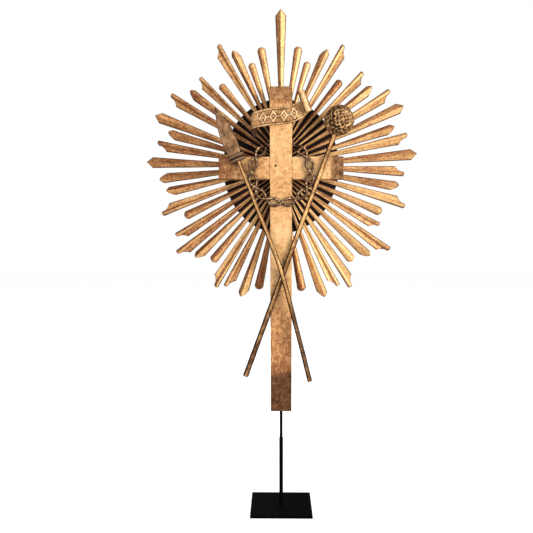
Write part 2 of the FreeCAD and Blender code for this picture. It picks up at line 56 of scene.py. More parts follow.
SUN_Z = 716.0
RAY_BACK_Y = 33.0
RAY_ROOT = 30.0
RAY_TAPER = 0.083
RAY_EDGE_THICK = 4.5
RIDGE_RISE = 0.36
ROUND_TAPER = 0.083
ROUND_BASE_THICK = 2.0
APEX_SPREAD = 35.0
TOP_RAY_REACH = 322.0
# form of the tip; direction from straight up in degrees, reach and tone, on the right and on the left
RAY_PAIRS = [
    ("round", 8.6, 250, 0.50, 9.6, 250, 0.60),
    ("round", 14.7, 223, 0.50, 16.3, 223, 0.60),
    ("skew_down", 21.5, 258, 0.60, 22.2, 258, 0.45),
    ("notched_up", 28.8, 280, 0.80, 28.5, 282, 0.50),
    ("round", 35.3, 217, 0.15, 36.7, 212, 0.35),
    ("notched_up", 42.7, 257, 0.70, 43.8, 249, 0.35),
    ("skew_up", 49.6, 249, 0.50, 50.9, 245, 0.25),
    ("notched_up", 56.8, 274, 0.80, 58.3, 273, 0.35),
    ("arrow", 64.2, 283, 0.45, 68.2, 283, 0.35),
    ("skew_up", 71.7, 249, 0.40, 73.8, 246, 0.15),
    ("notched_up", 77.6, 271, 0.75, 80.4, 263, 0.25),
    ("arrow", 85.1, 284, 0.40, 88.2, 281, 0.25),
    ("notched_down", 92.5, 258, 0.50, 95.6, 256, 0.25),
    ("skew_up", 100.0, 250, 0.50, 102.6, 246, 0.25),
    ("notched_down", 106.7, 273, 0.80, 110.4, 269, 0.40),
    ("round", 114.5, 233, 0.60, 117.2, 229, 0.30),
    ("notched_up", 122.0, 241, 0.45, 124.3, 265, 0.40),
    ("notched_up", 128.7, 288, 0.55, 130.8, 285, 0.40),
    ("skew_up", 135.7, 265, 0.75, 137.0, 263, 0.35),
    ("round", 142.7, 250, 0.80, 143.9, 248, 0.40),
    ("notched_down", 148.7, 293, 0.90, 150.2, 289, 0.45),
    ("notched_up", 155.5, 279, 0.80, 156.1, 279, 0.45),
    ("skew_up", 161.8, 290, 0.85, 163.2, 287, 0.50),
    ("round", 170.3, 267, 0.05, 169.5, 264, 0.02),
]

LEFT_FORMS = {13: "skew_down"}      # where a left ray's tip differs from its partner's

SCROLL_THICK = 2.4
ROLL_RADIUS, ROLL_INNER_RADIUS, ROLL_TURNS = 8.0, 6.4, 0.66
RIBBON_STATIONS = [
    (-50.5, 772.0, -49.5, 795.0, -0.5),
    (-56.0, 775.0, -55.0, 806.0, -1.5),
    (-60.0, 780.0, -59.0, 813.0, -5.0),
    (-60.5, 784.0, -59.5, 818.0, -10.0),
    (-56.0, 787.0, -55.0, 821.0, -14.5),
    (-46.0, 790.0, -45.0, 824.0, -17.0),
    (-22.0, 794.0, -22.5, 829.0, -15.5),
    (0.0, 796.0, -1.0, 831.3, -13.9),
    (20.0, 799.0, 16.0, 833.5, -13.9),
    (38.0, 805.5, 29.0, 839.0, -14.5),
    (47.0, 811.5, 38.0, 842.0, -14.3),
]
ROLL_BOTTOM = (55.0, -22.0, 819.5)
ROLL_TOP = (39.0, -22.0, 861.0)

CROWN_X, CROWN_Z = 0.4, 698.5
CROWN_HALF_WIDTH, CROWN_HALF_HEIGHT = 59.5, 61.4
CROWN_LOOP, CROWN_WEAVE, CROWN_TWISTS = 7.2, 2.5, 6
STRAND_D = 5.3
CROWN_FRONT_Y = POST_FRONT_Y - CROWN_WEAVE - STRAND_D / 2 - 0.2
CROWN_REAR_Y = POST_BACK_Y + CROWN_WEAVE + STRAND_D / 2 + 0.2
CROWN_REAR_DEG, CROWN_FRONT_DEG = 27.0, 40.0

LANCE_LINE = [
    (-87.8, -20.4, 727.5),
    (-50.5, -25.2, 631.5),
    (-26.6, -27.2, 571.5),
    (-8.0, -28.7, 523.0),
    (1.8, -29.7, 492.4),
    (10.0, -30.4, 464.0),
    (26.0, -31.2, 402.0),
    (42.8, -31.9, 337.0),
    (58.7, -32.4, 273.0),
]
LANCE_TOP_D, LANCE_END_D = 8.2, 10.4
COLLAR_CENTRE, COLLAR_TILT_DEG = (-89.4, -19.8, 728.5), -23.0
COLLAR_LENGTH, COLLAR_HALF_WIDTH, COLLAR_HALF_DEPTH = 16.0, 17.0, 7.3
BLADE_THICK = 6.0
BLADE_OUTLINE = [
    (0.0, -14.6, 12.4),
    (20.0, -16.4, 14.8),
    (42.0, -15.4, 14.4),
    (56.0, -13.9, 13.4),
    (68.0, -12.0, 11.2),
    (82.0, -8.2, 6.8),
    (104.5, -2.1, -1.1),
]

REED_TOP, REED_END = (109.7, -17.6, 779.5), (-73.8, -20.4, 280.7)
REED_TOP_D, REED_END_D, REED_IN_SPONGE = 9.0, 12.2, 20.0
SPONGE_CENTRE, SPONGE_TILT_DEG = (117.2, -18.5, 803.2), 20.0
SPONGE_HALF_SIZE = (31.0, 23.0, 32.0)


# ---------------------------------------------------------------- small helpers
def rough(point, scale, seed=0.0):
    """Smooth noise from about -1 to 1, for a point in millimetres and a grain size in millimetres."""
    x, y, z = point
    return noise.noise(Vector((x / scale + seed * 7.31, y / scale - seed * 3.17, z / scale + seed * 1.93)))


def step(x, low=0.0, high=1.0):
    """0 below low, 1 above high, and smooth between them."""
    t = min(max((x - low) / (high - low), 0.0), 1.0)
    return t * t * (3 - 2 * t)


def smooth_line(points, count):
    """A curve through the points, as count evenly spread samples of any number of columns."""
    p = np.array(points, float)
    p = np.vstack([2 * p[0] - p[1], p, 2 * p[-1] - p[-2]])
    samples = []
    for at in np.linspace(0, len(points) - 1, count):
        i = min(int(at), len(points) - 2)
        t = at - i
        a, b, c, d = p[i], p[i + 1], p[i + 2], p[i + 3]
        samples.append(0.5 * (2 * b + (c - a) * t + (2 * a - 5 * b + 4 * c - d) * t ** 2
                              + (3 * b - a - 3 * c + d) * t ** 3))
    return np.array(samples)


def unit(v):
    return v / np.linalg.norm(v)


class Shape:
    """Points and faces of one piece, and for each point what its materials need:
    grain, a position along and across the wood, and finish, (wear, grime, tone) from 0 to 1. On several
    pieces grime also carries painted shade, tone painted light and shade, and on the crown wear a painted
    highlight."""

    def __init__(self):
        self.points = []
        self.grain = []
        self.finish = []
        self.faces = []
        self.bare = []

    def add_rings(self, rings, caps="fan", loop=False, bare_columns=()):
        """Joins closed rings of corners, each (point, grain, finish). Both ends are closed by fans or by
        strips across the ring. Faces between two bare columns take the piece's second material."""
        first = len(self.points)
        count = len(rings[0])
        for ring in rings:
            for corner in ring:
                for target, value in zip((self.points, self.grain, self.finish), corner):
                    target.append(tuple(float(x) for x in value))
        last = len(rings) if loop else len(rings) - 1
        for i in range(last):
            here = first + i * count
            there = first + (i + 1) % len(rings) * count
            for j in range(count):
                k = (j + 1) % count
                self.faces.append((here + j, here + k, there + k, there + j))
                self.bare.append(j in bare_columns and k in bare_columns)
        ends = [] if loop else [0, len(rings) - 1]
        for end in ends:
            start = first + end * count
            if caps == "strip":
                for j in range(count // 2 - 1):
                    far = start + count - 1 - j
                    self.faces.append((start + j, start + j + 1, far - 1, far))
                    self.bare.append(False)
            else:
                self.cap(start, count)

    def cap(self, start, count):
        """Closes a ring with a fan round its middle."""
        middle = len(self.points)
        for target in (self.points, self.grain, self.finish):
            target.append(tuple(np.mean(target[start:start + count], axis=0)))
        for j in range(count):
            self.faces.append((start + j, start + (j + 1) % count, middle))
            self.bare.append(False)

    def make(self, name, nodes, slot, materials, body="cross", sharp_deg=33.0):
        """The piece as a Blender object that rides on its body and stands for its CAD nodes."""
        mesh = bpy.data.meshes.new(name)
        mesh.from_pydata([(x * MM, y * MM, z * MM) for x, y, z in self.points], [], self.faces)
        grain = mesh.attributes.new("grain", "FLOAT_VECTOR", "POINT")
        grain.data.foreach_set("vector", (np.array(self.grain, np.float32) * MM).ravel())
        finish = mesh.attributes.new("finish", "FLOAT_VECTOR", "POINT")
        finish.data.foreach_set("vector", np.clip(np.array(self.finish, np.float32), 0, 1).ravel())
        mesh.polygons.foreach_set("material_index", [int(b) for b in self.bare])
        work = bmesh.new()
        work.from_mesh(mesh)
        bmesh.ops.recalc_face_normals(work, faces=work.faces)
        work.to_mesh(mesh)
        work.free()
        mesh.shade_smooth()
        mesh.set_sharp_from_angle(angle=math.radians(sharp_deg))
        for material in materials:
            mesh.materials.append(material)
        piece = bpy.data.objects.new(name, mesh)
        bpy.context.scene.collection.objects.link(piece)
        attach(piece, body)
        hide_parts(*nodes)
        return piece


# ---------------------------------------------------------------- materials
class Nodes:
    """A material's node tree, with short calls for the nodes that it uses."""

    def __init__(self, name):
        self.material = bpy.data.materials.new(name)
        self.material.use_nodes = True
        self.tree = self.material.node_tree
        self.tree.nodes.clear()

    def add(self, kind, inputs=(), **settings):
        made = self.tree.nodes.new("ShaderNode" + kind)
        for key, value in settings.items():
            setattr(made, key, value)
        for socket, value in dict(inputs).items():
            if isinstance(value, bpy.types.NodeSocket):
                self.tree.links.new(value, made.inputs[socket])
            else:
                made.inputs[socket].default_value = value
        return made

    def math(self, operation, a, b=0.0):
        return self.add("Math", {0: a, 1: b}, operation=operation).outputs[0]

    def times(self, a, b):
        return self.math("MULTIPLY", a, b)

    def plus(self, a, b):
        return self.math("ADD", a, b)

    def largest(self, a, b):
        return self.math("MAXIMUM", a, b)

    def weigh(self, *parts):
        """The sum of values, each with its weight."""
        total = None
        for value, weight in parts:
            part = self.times(value, weight)
            total = part if total is None else self.plus(total, part)
        return total

    def mask(self, value, low, high):
        """0 where value is below low and 1 where it is above high; the other way if low is above high."""
        turned = low > high
        ends = {1: min(low, high), 2: max(low, high), 3: float(turned), 4: float(not turned)}
        return self.add("MapRange", {0: value, **ends}, interpolation_type="SMOOTHSTEP").outputs[0]

    def mix(self, share, a, b, blend="MIX"):
        made = self.add("Mix", {0: share, 6: a, 7: b}, data_type="RGBA", blend_type=blend)
        return made.outputs[2]

    def ramp(self, value, stops):
        made = self.add("ValToRGB", {0: value})
        elements = made.color_ramp.elements
        while len(elements) < len(stops):
            elements.new(0.5)
        for element, (position, colour) in zip(elements, stops):
            element.position = position
            element.color = colour
        return made.outputs[0]

    def noise(self, place, scale, detail=4.0, roughness=0.55):
        inputs = {"Vector": place, "Scale": scale, "Detail": detail, "Roughness": roughness}
        return self.add("TexNoise", inputs).outputs[0]

    def stretched(self, place, along, across):
        """The grain coordinates scaled so that noise draws out along the wood."""
        return self.add("Mapping", {0: place, 3: (along, across, across)}).outputs[0]

    def object_place(self):
        return self.add("TexCoord").outputs["Object"]

    def attribute(self, name):
        return self.add("Attribute", attribute_name=name).outputs["Vector"]

    def finish_parts(self):
        parts = self.add("SeparateXYZ", {0: self.attribute("finish")})
        return parts.outputs[0], parts.outputs[1], parts.outputs[2]

    def bump(self, height, strength, distance_mm, under=None):
        inputs = {"Height": height, "Strength": strength, "Distance": distance_mm * MM}
        if under is not None:
            inputs["Normal"] = under
        return self.add("Bump", inputs).outputs[0]

    def surface(self, inputs):
        shader = self.add("BsdfPrincipled", inputs)
        self.add("OutputMaterial", {0: shader.outputs[0]})
        return self.material


def rgb(red, green, blue):
    """A colour from 0 to 255 as it looks on a screen, for a shader."""
    linear = []
    for value in (red, green, blue):
        v = value / 255
        linear.append(v / 12.92 if v <= 0.04045 else ((v + 0.055) / 1.055) ** 2.4)
    return (*linear, 1.0)


# Colours for real soot, and for the painted shade that many pieces put into their grime channel.
SOOT_AND_SHADE = rgb(46, 26, 15)
BROWN_SOOT_AND_SHADE = rgb(80, 44, 25)


def gilt(name, deep, middle, bright, wear=0.5, grime=0.5, gloss=0.40, metal=0.45,
         mottle_scale=55.0, grit=0.5, streak=0.5, soot_and_shade_colour=SOOT_AND_SHADE):
    """Old leaf on a red-brown ground: mottled gold, rubbed through at edges, darker where the grime channel
    is high, which holds real grime and painted shade; the tone channel also brings painted light and shade.
    """
    n = Nodes(name)
    place = n.object_place()
    grain = n.attribute("grain")
    worn, dirty, tone = n.finish_parts()
    mottle = n.noise(place, mottle_scale, 6.0, 0.62)
    patches = n.noise(place, 21.0, 3.0, 0.5)
    streaks = n.noise(n.stretched(grain, 28.0, 620.0), 1.0, 4.0, 0.6)
    crumbs = n.noise(place, 330.0, 3.0, 0.65)
    fine = n.noise(place, 760.0, 3.0, 0.6)
    shade = 0.5
    shares = ((mottle, 1.35 - streak), (streaks, streak), (crumbs, 1.0), (tone, 0.60), (patches, 0.35))
    for part, weight in shares:
        shade = n.plus(shade, n.times(n.math("SUBTRACT", part, 0.5), weight))
    leaf = n.ramp(shade, [(0.22, deep), (0.50, middle), (0.76, bright)])

    rubbed = n.weigh((worn, 0.55), (n.noise(place, 130.0, 6.0, 0.7), 0.75))
    rubbed = n.mask(rubbed, 0.78 - 0.22 * wear, 0.98 - 0.22 * wear)
    bole = n.mix(patches, rgb(134, 74, 46), rgb(92, 52, 34))
    colour = n.mix(n.times(rubbed, 0.80), leaf, bole)

    # Soot and painted shade alike come in through the grime channel.
    soot_and_shade = n.weigh((dirty, 0.85), (n.noise(place, 85.0, 5.0, 0.65), 0.5))
    soot_and_shade = n.mask(soot_and_shade, 0.80 - 0.32 * grime, 1.22 - 0.32 * grime)
    colour = n.mix(n.times(soot_and_shade, 0.93), colour, soot_and_shade_colour)
    pits = n.mask(crumbs, 0.66 - 0.10 * grit, 0.78 - 0.10 * grit)
    colour = n.mix(n.times(pits, 0.62 * grit), colour, rgb(112, 62, 38))
    specks = n.mask(n.noise(place, 430.0, 2.0, 0.5), 0.66, 0.71)
    colour = n.mix(n.times(specks, 0.8), colour, rgb(48, 28, 16))

    dull = n.largest(n.largest(rubbed, soot_and_shade), specks)
    metallic = n.times(n.math("SUBTRACT", 1.0, dull), metal)
    roughness = n.plus(n.times(mottle, 0.22), gloss - 0.11)
    roughness = n.plus(roughness, n.times(dull, 0.25))
    height = n.weigh((streaks, 0.6), (mottle, 0.8), (rubbed, -0.35), (n.largest(specks, pits), -0.5))
    normal = n.bump(height, 0.55, 0.55)
    normal = n.bump(fine, 0.20, 0.12, normal)
    return n.surface({
        "Base Color": colour, "Metallic": metallic, "Roughness": roughness, "Specular IOR Level": 0.15,
        "Normal": normal,
    })


def bare_wood(name):
    """The uncarved backs: old dry pine, stained unevenly."""
    n = Nodes(name)
    place = n.object_place()
    grain = n.attribute("grain")
    figure = n.noise(n.stretched(grain, 16.0, 260.0), 1.0, 5.0, 0.6)
    pores = n.noise(n.stretched(grain, 60.0, 1500.0), 1.0, 2.0, 0.5)
    stain = n.noise(place, 24.0, 4.0, 0.6)
    colour = n.ramp(figure, [(0.3, rgb(74, 50, 33)), (0.5, rgb(116, 82, 54)), (0.7, rgb(146, 110, 76))])
    colour = n.mix(n.mask(stain, 0.45, 0.7), colour, rgb(66, 44, 30))
    colour = n.mix(n.times(n.mask(pores, 0.62, 0.70), 0.6), colour, rgb(40, 26, 17))
    height = n.weigh((figure, 0.7), (pores, -0.5))
    roughness = n.plus(n.times(figure, 0.15), 0.62)
    return n.surface({"Base Color": colour, "Roughness": roughness, "Normal": n.bump(height, 0.5, 0.5)})


def bronzed_wood(name):
    """Dull brown bronze paint, scratched through to lighter streaks."""
    n = Nodes(name)
    place = n.object_place()
    worn, dirty, _ = n.finish_parts()
    cloud = n.noise(place, 70.0, 6.0, 0.65)
    scratch_place = n.stretched(n.attribute("grain"), 60.0, 900.0)
    scratches = n.mask(n.noise(scratch_place, 1.0, 3.0, 0.6), 0.56, 0.66)
    colour = n.ramp(cloud, [(0.30, rgb(74, 48, 30)), (0.5, rgb(136, 97, 66)), (0.68, rgb(188, 146, 102))])
    colour = n.mix(n.times(scratches, 0.60), colour, rgb(218, 186, 142))
    rubbed = n.mask(n.weigh((worn, 0.6), (cloud, 0.6)), 0.68, 0.9)
    colour = n.mix(n.times(rubbed, 0.6), colour, rgb(196, 152, 98))
    # The grime channel: the collar's dark paint, with painted shade in its hollows and along the blade's
    # edges.
    soot_and_shade = n.mask(n.weigh((dirty, 0.8), (cloud, 0.4)), 0.55, 1.0)
    colour = n.mix(soot_and_shade, colour, rgb(26, 16, 10))
    roughness = n.plus(n.times(cloud, 0.25), 0.34)
    height = n.weigh((cloud, 1.0), (scratches, -0.3))
    return n.surface({
        "Base Color": colour, "Metallic": 0.2, "Roughness": roughness, "Specular IOR Level": 0.2,
        "Normal": n.bump(height, 0.5, 0.6),
    })


def thorn_vine(name):
    """Dark brown bark with rubbed gold on its knuckles; the gold also stands for a painted highlight along
    each strand's lit side.
    """
    n = Nodes(name)
    place = n.object_place()
    worn, dirty, _ = n.finish_parts()
    cloud = n.noise(place, 150.0, 5.0, 0.65)
    bark = n.noise(n.stretched(n.attribute("grain"), 180.0, 900.0), 1.0, 3.0, 0.6)
    colour = n.ramp(bark, [(0.3, rgb(48, 28, 18)), (0.5, rgb(110, 71, 47)), (0.7, rgb(162, 112, 74))])
    gold = n.mask(n.weigh((worn, 0.55), (cloud, 0.7)), 0.50, 0.78)
    colour = n.mix(n.times(gold, 0.9), colour, rgb(244, 200, 142))
    # Painted shade at the strands' sides, from the grime channel.
    colour = n.mix(n.times(dirty, 0.9), colour, rgb(26, 15, 10))
    roughness = n.plus(n.times(bark, 0.25), 0.34)
    metallic = n.times(gold, 0.3)
    return n.surface({
        "Base Color": colour, "Metallic": metallic, "Roughness": roughness, "Specular IOR Level": 0.3,
        "Normal": n.bump(bark, 0.6, 0.5),
    })


def dark_board(name):
    """Nearly black stained wood with its grain upright."""
    n = Nodes(name)
    place = n.object_place()
    upright = n.add("Mapping", {0: place, 3: (420.0, 420.0, 14.0)}).outputs[0]
    figure = n.noise(upright, 1.0, 5.0, 0.6)
    stain = n.noise(place, 26.0, 4.0, 0.6)
    colour = n.ramp(figure, [(0.3, rgb(14, 8, 7)), (0.55, rgb(26, 15, 13)), (0.8, rgb(48, 30, 22))])
    colour = n.mix(n.mask(stain, 0.5, 0.75), colour, rgb(12, 7, 7))
    roughness = n.plus(n.times(stain, 0.3), 0.6)
    return n.surface({
        "Base Color": colour, "Roughness": roughness, "Specular IOR Level": 0.2,
        "Normal": n.bump(figure, 0.5, 0.4),
    })


def iron(name):
    """Old hand-made nails and screws, brown with rust."""
    n = Nodes(name)
    place = n.object_place()
    rust = n.noise(place, 500.0, 5.0, 0.65)
    colour = n.ramp(rust, [(0.35, rgb(24, 18, 16)), (0.55, rgb(52, 34, 25)), (0.75, rgb(92, 54, 34))])
    roughness = n.plus(n.times(rust, 0.4), 0.40)
    return n.surface({
        "Base Color": colour, "Metallic": 0.6, "Roughness": roughness, "Normal": n.bump(rust, 0.6, 0.3),
    })


def black_steel(name):
    """Satin black powder coat with a fine orange peel and a few dust specks."""
    n = Nodes(name)
    place = n.object_place()
    peel = n.noise(place, 1400.0, 2.0, 0.5)
    cloud = n.noise(place, 30.0, 4.0, 0.6)
    dust = n.mask(n.noise(place, 900.0, 1.0, 0.5), 0.70, 0.74)
    colour = n.ramp(cloud, [(0.3, rgb(4, 4, 6)), (0.7, rgb(10, 10, 14))])
    colour = n.mix(n.times(dust, 0.20), colour, rgb(60, 60, 66))
    roughness = n.plus(n.times(cloud, 0.18), 0.50)
    return n.surface({
        "Base Color": colour, "Roughness": roughness, "IOR": 1.10, "Specular IOR Level": 0.1,
        "Normal": n.bump(peel, 0.25, 0.08),
    })


CROSS_GILT = gilt("gilt_cross", rgb(150, 96, 60), rgb(230, 170, 112), rgb(250, 206, 146),
                  wear=0.24, grime=0.36, gloss=0.48, metal=0.35, mottle_scale=130.0, grit=0.9)
RAY_GILT = gilt("gilt_rays", rgb(130, 78, 48), rgb(210, 152, 98), rgb(248, 202, 138),
                wear=0.42, grime=0.5, gloss=0.42, metal=0.42, mottle_scale=140.0, grit=0.5, streak=0.9,
                soot_and_shade_colour=BROWN_SOOT_AND_SHADE)
SCROLL_GILT = gilt("gilt_scroll", rgb(112, 70, 42), rgb(190, 140, 92), rgb(246, 204, 150),
                   wear=0.35, grime=0.85, gloss=0.42, metal=0.40)
SHAFT_GILT = gilt("gilt_shafts", rgb(84, 52, 30), rgb(150, 104, 62), rgb(228, 178, 116),
                  wear=0.45, grime=0.70, gloss=0.34, metal=0.50, mottle_scale=110.0)
SPONGE_GILT = gilt("gilt_sponge", rgb(104, 72, 44), rgb(176, 132, 86), rgb(232, 190, 138),
                   wear=0.25, grime=0.95, gloss=0.42, metal=0.40, mottle_scale=110.0)
BARE_WOOD = bare_wood("bare_wood")
BRONZED = bronzed_wood("bronzed_wood")
VINE = thorn_vine("thorn_vine")
BOARD = dark_board("dark_board")
IRON = iron("iron")
STEEL = black_steel("black_steel")


# ---------------------------------------------------------------- camera, light and floor
CAMERA_PLACE = (-8.0, -1400.0, 580.0)
CAMERA_PITCH_DEG, CAMERA_YAW_DEG, CAMERA_ROLL_DEG = 3.0, 0.9, 0.10
CAMERA_LENS = 45.66


def add_camera():
    data = bpy.data.cameras.new("camera")
    data.sensor_width = 36.0
    data.lens = CAMERA_LENS
    camera = bpy.data.objects.new("camera", data)
    camera.location = [x * MM for x in CAMERA_PLACE]
    pitch, yaw, roll = (math.radians(x) for x in (CAMERA_PITCH_DEG, CAMERA_YAW_DEG, CAMERA_ROLL_DEG))
    camera.rotation_euler = (math.pi / 2 - pitch, roll, yaw)
    bpy.context.scene.collection.objects.link(camera)
    bpy.context.scene.camera = camera


def add_light(name, place, target, size, power, colour):
    """A soft square light that faces its target; lengths in metres."""
    data = bpy.data.lights.new(name, "AREA")
    data.shape = "SQUARE"
    data.size = size
    data.energy = power
    data.color = colour
    light = bpy.data.objects.new(name, data)
    light.location = place
    light.rotation_euler = (Vector(target) - Vector(place)).to_track_quat("-Z", "Y").to_euler()
    bpy.context.scene.collection.objects.link(light)


def add_world():
    """White where the camera sees past the object, and dim grey as light."""
    world = bpy.data.worlds.new("studio")
    bpy.context.scene.world = world
    world.use_nodes = True
    tree = world.node_tree
    tree.nodes.clear()
    shown = tree.nodes.new("ShaderNodeBackground")
    shown.inputs[0].default_value = (1, 1, 1, 1)
    shown.inputs[1].default_value = 1.0
    light = tree.nodes.new("ShaderNodeBackground")
    light.inputs[0].default_value = (0.95, 0.97, 1.0, 1)
    light.inputs[1].default_value = 0.14
    rays = tree.nodes.new("ShaderNodeLightPath")
    mix = tree.nodes.new("ShaderNodeMixShader")
    output = tree.nodes.new("ShaderNodeOutputWorld")
    tree.links.new(rays.outputs["Is Camera Ray"], mix.inputs[0])
    tree.links.new(light.outputs[0], mix.inputs[1])
    tree.links.new(shown.outputs[0], mix.inputs[2])
    tree.links.new(mix.outputs[0], output.inputs[0])


def add_floor():
    """A plain white floor, bright enough that only contact shadows show."""
    half = 8.0
    corners = [(-half, -half, 0), (half, -half, 0), (half, half, 0), (-half, half, 0)]
    mesh = bpy.data.meshes.new("floor")
    mesh.from_pydata(corners, [], [(0, 1, 2, 3)])
    n = Nodes("floor")
    paint = n.add("BsdfDiffuse", {"Color": (0.86, 0.86, 0.86, 1)})
    glow = n.add("Emission", {"Color": (1, 1, 1, 1), "Strength": 0.86})
    dark = n.add("Emission", {"Color": (0, 0, 0, 1), "Strength": 0.0})
    seen = n.add("LightPath").outputs["Is Camera Ray"]
    lift = n.add("MixShader", {0: seen, 1: dark.outputs[0], 2: glow.outputs[0]})
    both = n.add("AddShader", {0: paint.outputs[0], 1: lift.outputs[0]})
    n.add("OutputMaterial", {0: both.outputs[0]})
    mesh.materials.append(n.material)
    floor = bpy.data.objects.new("floor", mesh)
    bpy.context.scene.collection.objects.link(floor)


add_camera()
add_world()
add_floor()
add_light("key", (2.15, -1.90, 0.90), (0, 0, 0.70), 1.7, 92.0, (1.0, 0.99, 0.97))
add_light("fill", (-1.7, -2.3, 1.3), (0, 0, 0.75), 1.4, 30.0, (0.98, 0.99, 1.0))
add_light("top", (0.3, -0.6, 2.6), (0, 0, 0.75), 1.2, 8.0, (1.0, 1.0, 1.0))
add_light("back", (-0.6, 2.4, 1.5), (0, 0, 0.6), 1.6, 22.0, (1.0, 1.0, 1.0))
bpy.context.scene.view_settings.view_transform = "Standard"


# ---------------------------------------------------------------- post and crossbar
def beam_section(half, front, back, edge=0.7):
    """Points (across, depth) round a beam's section, corners broken, and the columns on its back."""
    inner = [0.97, 0.93, 0.86, 0.72, 0.56, 0.38, 0.19]
    fractions = [-1.0] + [-f for f in inner] + [0.0] + inner[::-1] + [1.0]
    across = [(half - edge) * f for f in fractions]
    depths = np.linspace(front + edge, back - edge, 7)
    cut = edge * 0.3
    face = [(x, front) for x in across]
    section = face + [(half - cut, front + cut)]
    section += [(half, y) for y in depths] + [(half - cut, back - cut)]
    first_back = len(section)
    section += [(x, back) for x in reversed(across)]
    back_columns = range(first_back, len(section))
    section += [(-half + cut, back - cut)] + [(-half, y) for y in reversed(depths)]
    section += [(-half + cut, front + cut)]
    return section, set(back_columns)


END_WEAR = 9.0                  # how far wear reaches in from an ordinary sawn end
FOOT_WEAR = 26.0
STAIN_TOP_Z, STAIN_FULL_Z = 311.0, 281.0    # the post's foot darkens between these heights


def beam(stations, place, seed, worn_ends, tone, joint=lambda a, b: 0.0):
    """A beam along a from stations (a, half width, front, back). place(a, b, depth) puts a point in the
    frame. Its faces waver slightly and its corners are worn and chipped. worn_ends holds (a, how far the
    wear reaches), and joint(a, b) says where grime gathers."""
    rings = []
    middle_depth = (stations[0][2] + stations[0][3]) / 2
    for a, half, front, back in stations:
        section, back_columns = beam_section(half, front, back)
        end = max(step(abs(a - e), reach, 0.0) for e, reach in worn_ends)
        ring = []
        for b, depth in section:
            at = (a, b, depth)
            side = abs(b) / half
            corner = step(side, 0.90, 1.0) * step(abs(depth - middle_depth) / POST_HALF_DEPTH, 0.80, 1.0)
            chip = step(rough(at, 7.0, seed), 0.34, 0.62) * corner * 0.9
            wave = 0.12 * rough(at, 26.0, seed + 3) + 0.06 * rough(at, 6.0, seed + 5)
            shrink = 1 - (chip + 0.12 + wave) / half
            depth += (0.5 * chip + 0.08 + 0.6 * wave) * (-1 if depth > middle_depth else 1)
            b *= shrink
            # Dark lines along the edges: grime, and painted shade where the corners would catch the light.
            by_corner = 0.35 + 0.65 * step(abs(depth - middle_depth) / POST_HALF_DEPTH, 0.6, 0.9)
            patchy = step(0.35 + rough(at, 9.0, seed + 7), 0.0, 0.3)
            edge_grime_and_shade = 0.85 * step(side, 0.90, 0.99) * by_corner * patchy
            marks = (corner * 0.5 + 0.35 * end, max(end * 0.75, joint(a, b), edge_grime_and_shade), tone(a, b))
            ring.append((place(a, b, depth), (a, b, depth + 40 * seed), marks))
        rings.append(ring)
    shape = Shape()
    shape.add_rings(rings, bare_columns=back_columns)
    return shape


def post_half(z):
    share = (z - POST_FOOT_Z) / (POST_TOP_Z - POST_FOOT_Z)
    return (POST_FOOT_WIDTH + (POST_TOP_WIDTH - POST_FOOT_WIDTH) * share) / 2


def make_post():
    heights = [POST_FOOT_Z + 0.5, *np.arange(POST_FOOT_Z + 3, POST_TOP_Z - 3, 4.0), POST_TOP_Z - 0.5]
    stations = []
    for z in sorted(set(heights) | {BAR_BOTTOM_Z, BAR_TOP_Z}):
        lapped = BAR_BOTTOM_Z < z < BAR_TOP_Z
        full = (z, post_half(z), POST_FRONT_Y, POST_BACK_Y)
        half = (z, post_half(z), POST_FRONT_Y, 0.0)
        if z == BAR_BOTTOM_Z:
            stations += [full, half]
        elif z == BAR_TOP_Z:
            stations += [half, full]
        else:
            stations.append(half if lapped else full)
    foot, head = stations[0], stations[-1]
    stations.insert(0, (POST_FOOT_Z, foot[1] - 0.4, foot[2] + 0.4, foot[3] - 0.4))
    stations.append((POST_TOP_Z, head[1] - 0.4, head[2] + 0.4, head[3] - 0.4))

    def tone(z, x):
        """Darker above the scroll and towards the foot, and painted lighter where the lance and reed cast
        their shadow.
        """
        light = 0.61 - 0.37 * step(z, 832.0, 842.0) - 0.34 * step(z, 470.0, 380.0)
        # Painted light: lighter between these heights, against the shadow of the lance and the reed.
        light += 0.14 * step(z, 640.0, 590.0) * step(z, 430.0, 520.0)
        light -= 0.75 * step(z + 7 * rough((x, 0, z), 9.0, 9), STAIN_TOP_Z, STAIN_FULL_Z)
        return light + 0.08 * rough((x, 0, z), 40.0, 2)

    def joint(z, x):
        foot = 0.86 * step(z + 7 * rough((x, 0, z), 9.0, 9), STAIN_TOP_Z - 2.0, STAIN_FULL_Z - 2.0)
        head = 0.74 * step(z, 834.0, 846.0)
        return max(0.8 * step(abs(z - POST_TOP_Z), 2.5, 0.0), foot, head)

    shape = beam(stations, lambda a, b, depth: (b, depth, a), 1,
                 [(POST_TOP_Z, END_WEAR), (POST_FOOT_Z, FOOT_WEAR)], tone, joint)
    return shape.make("post", ["cross_post"], "gilt_cross", [CROSS_GILT, BARE_WOOD])


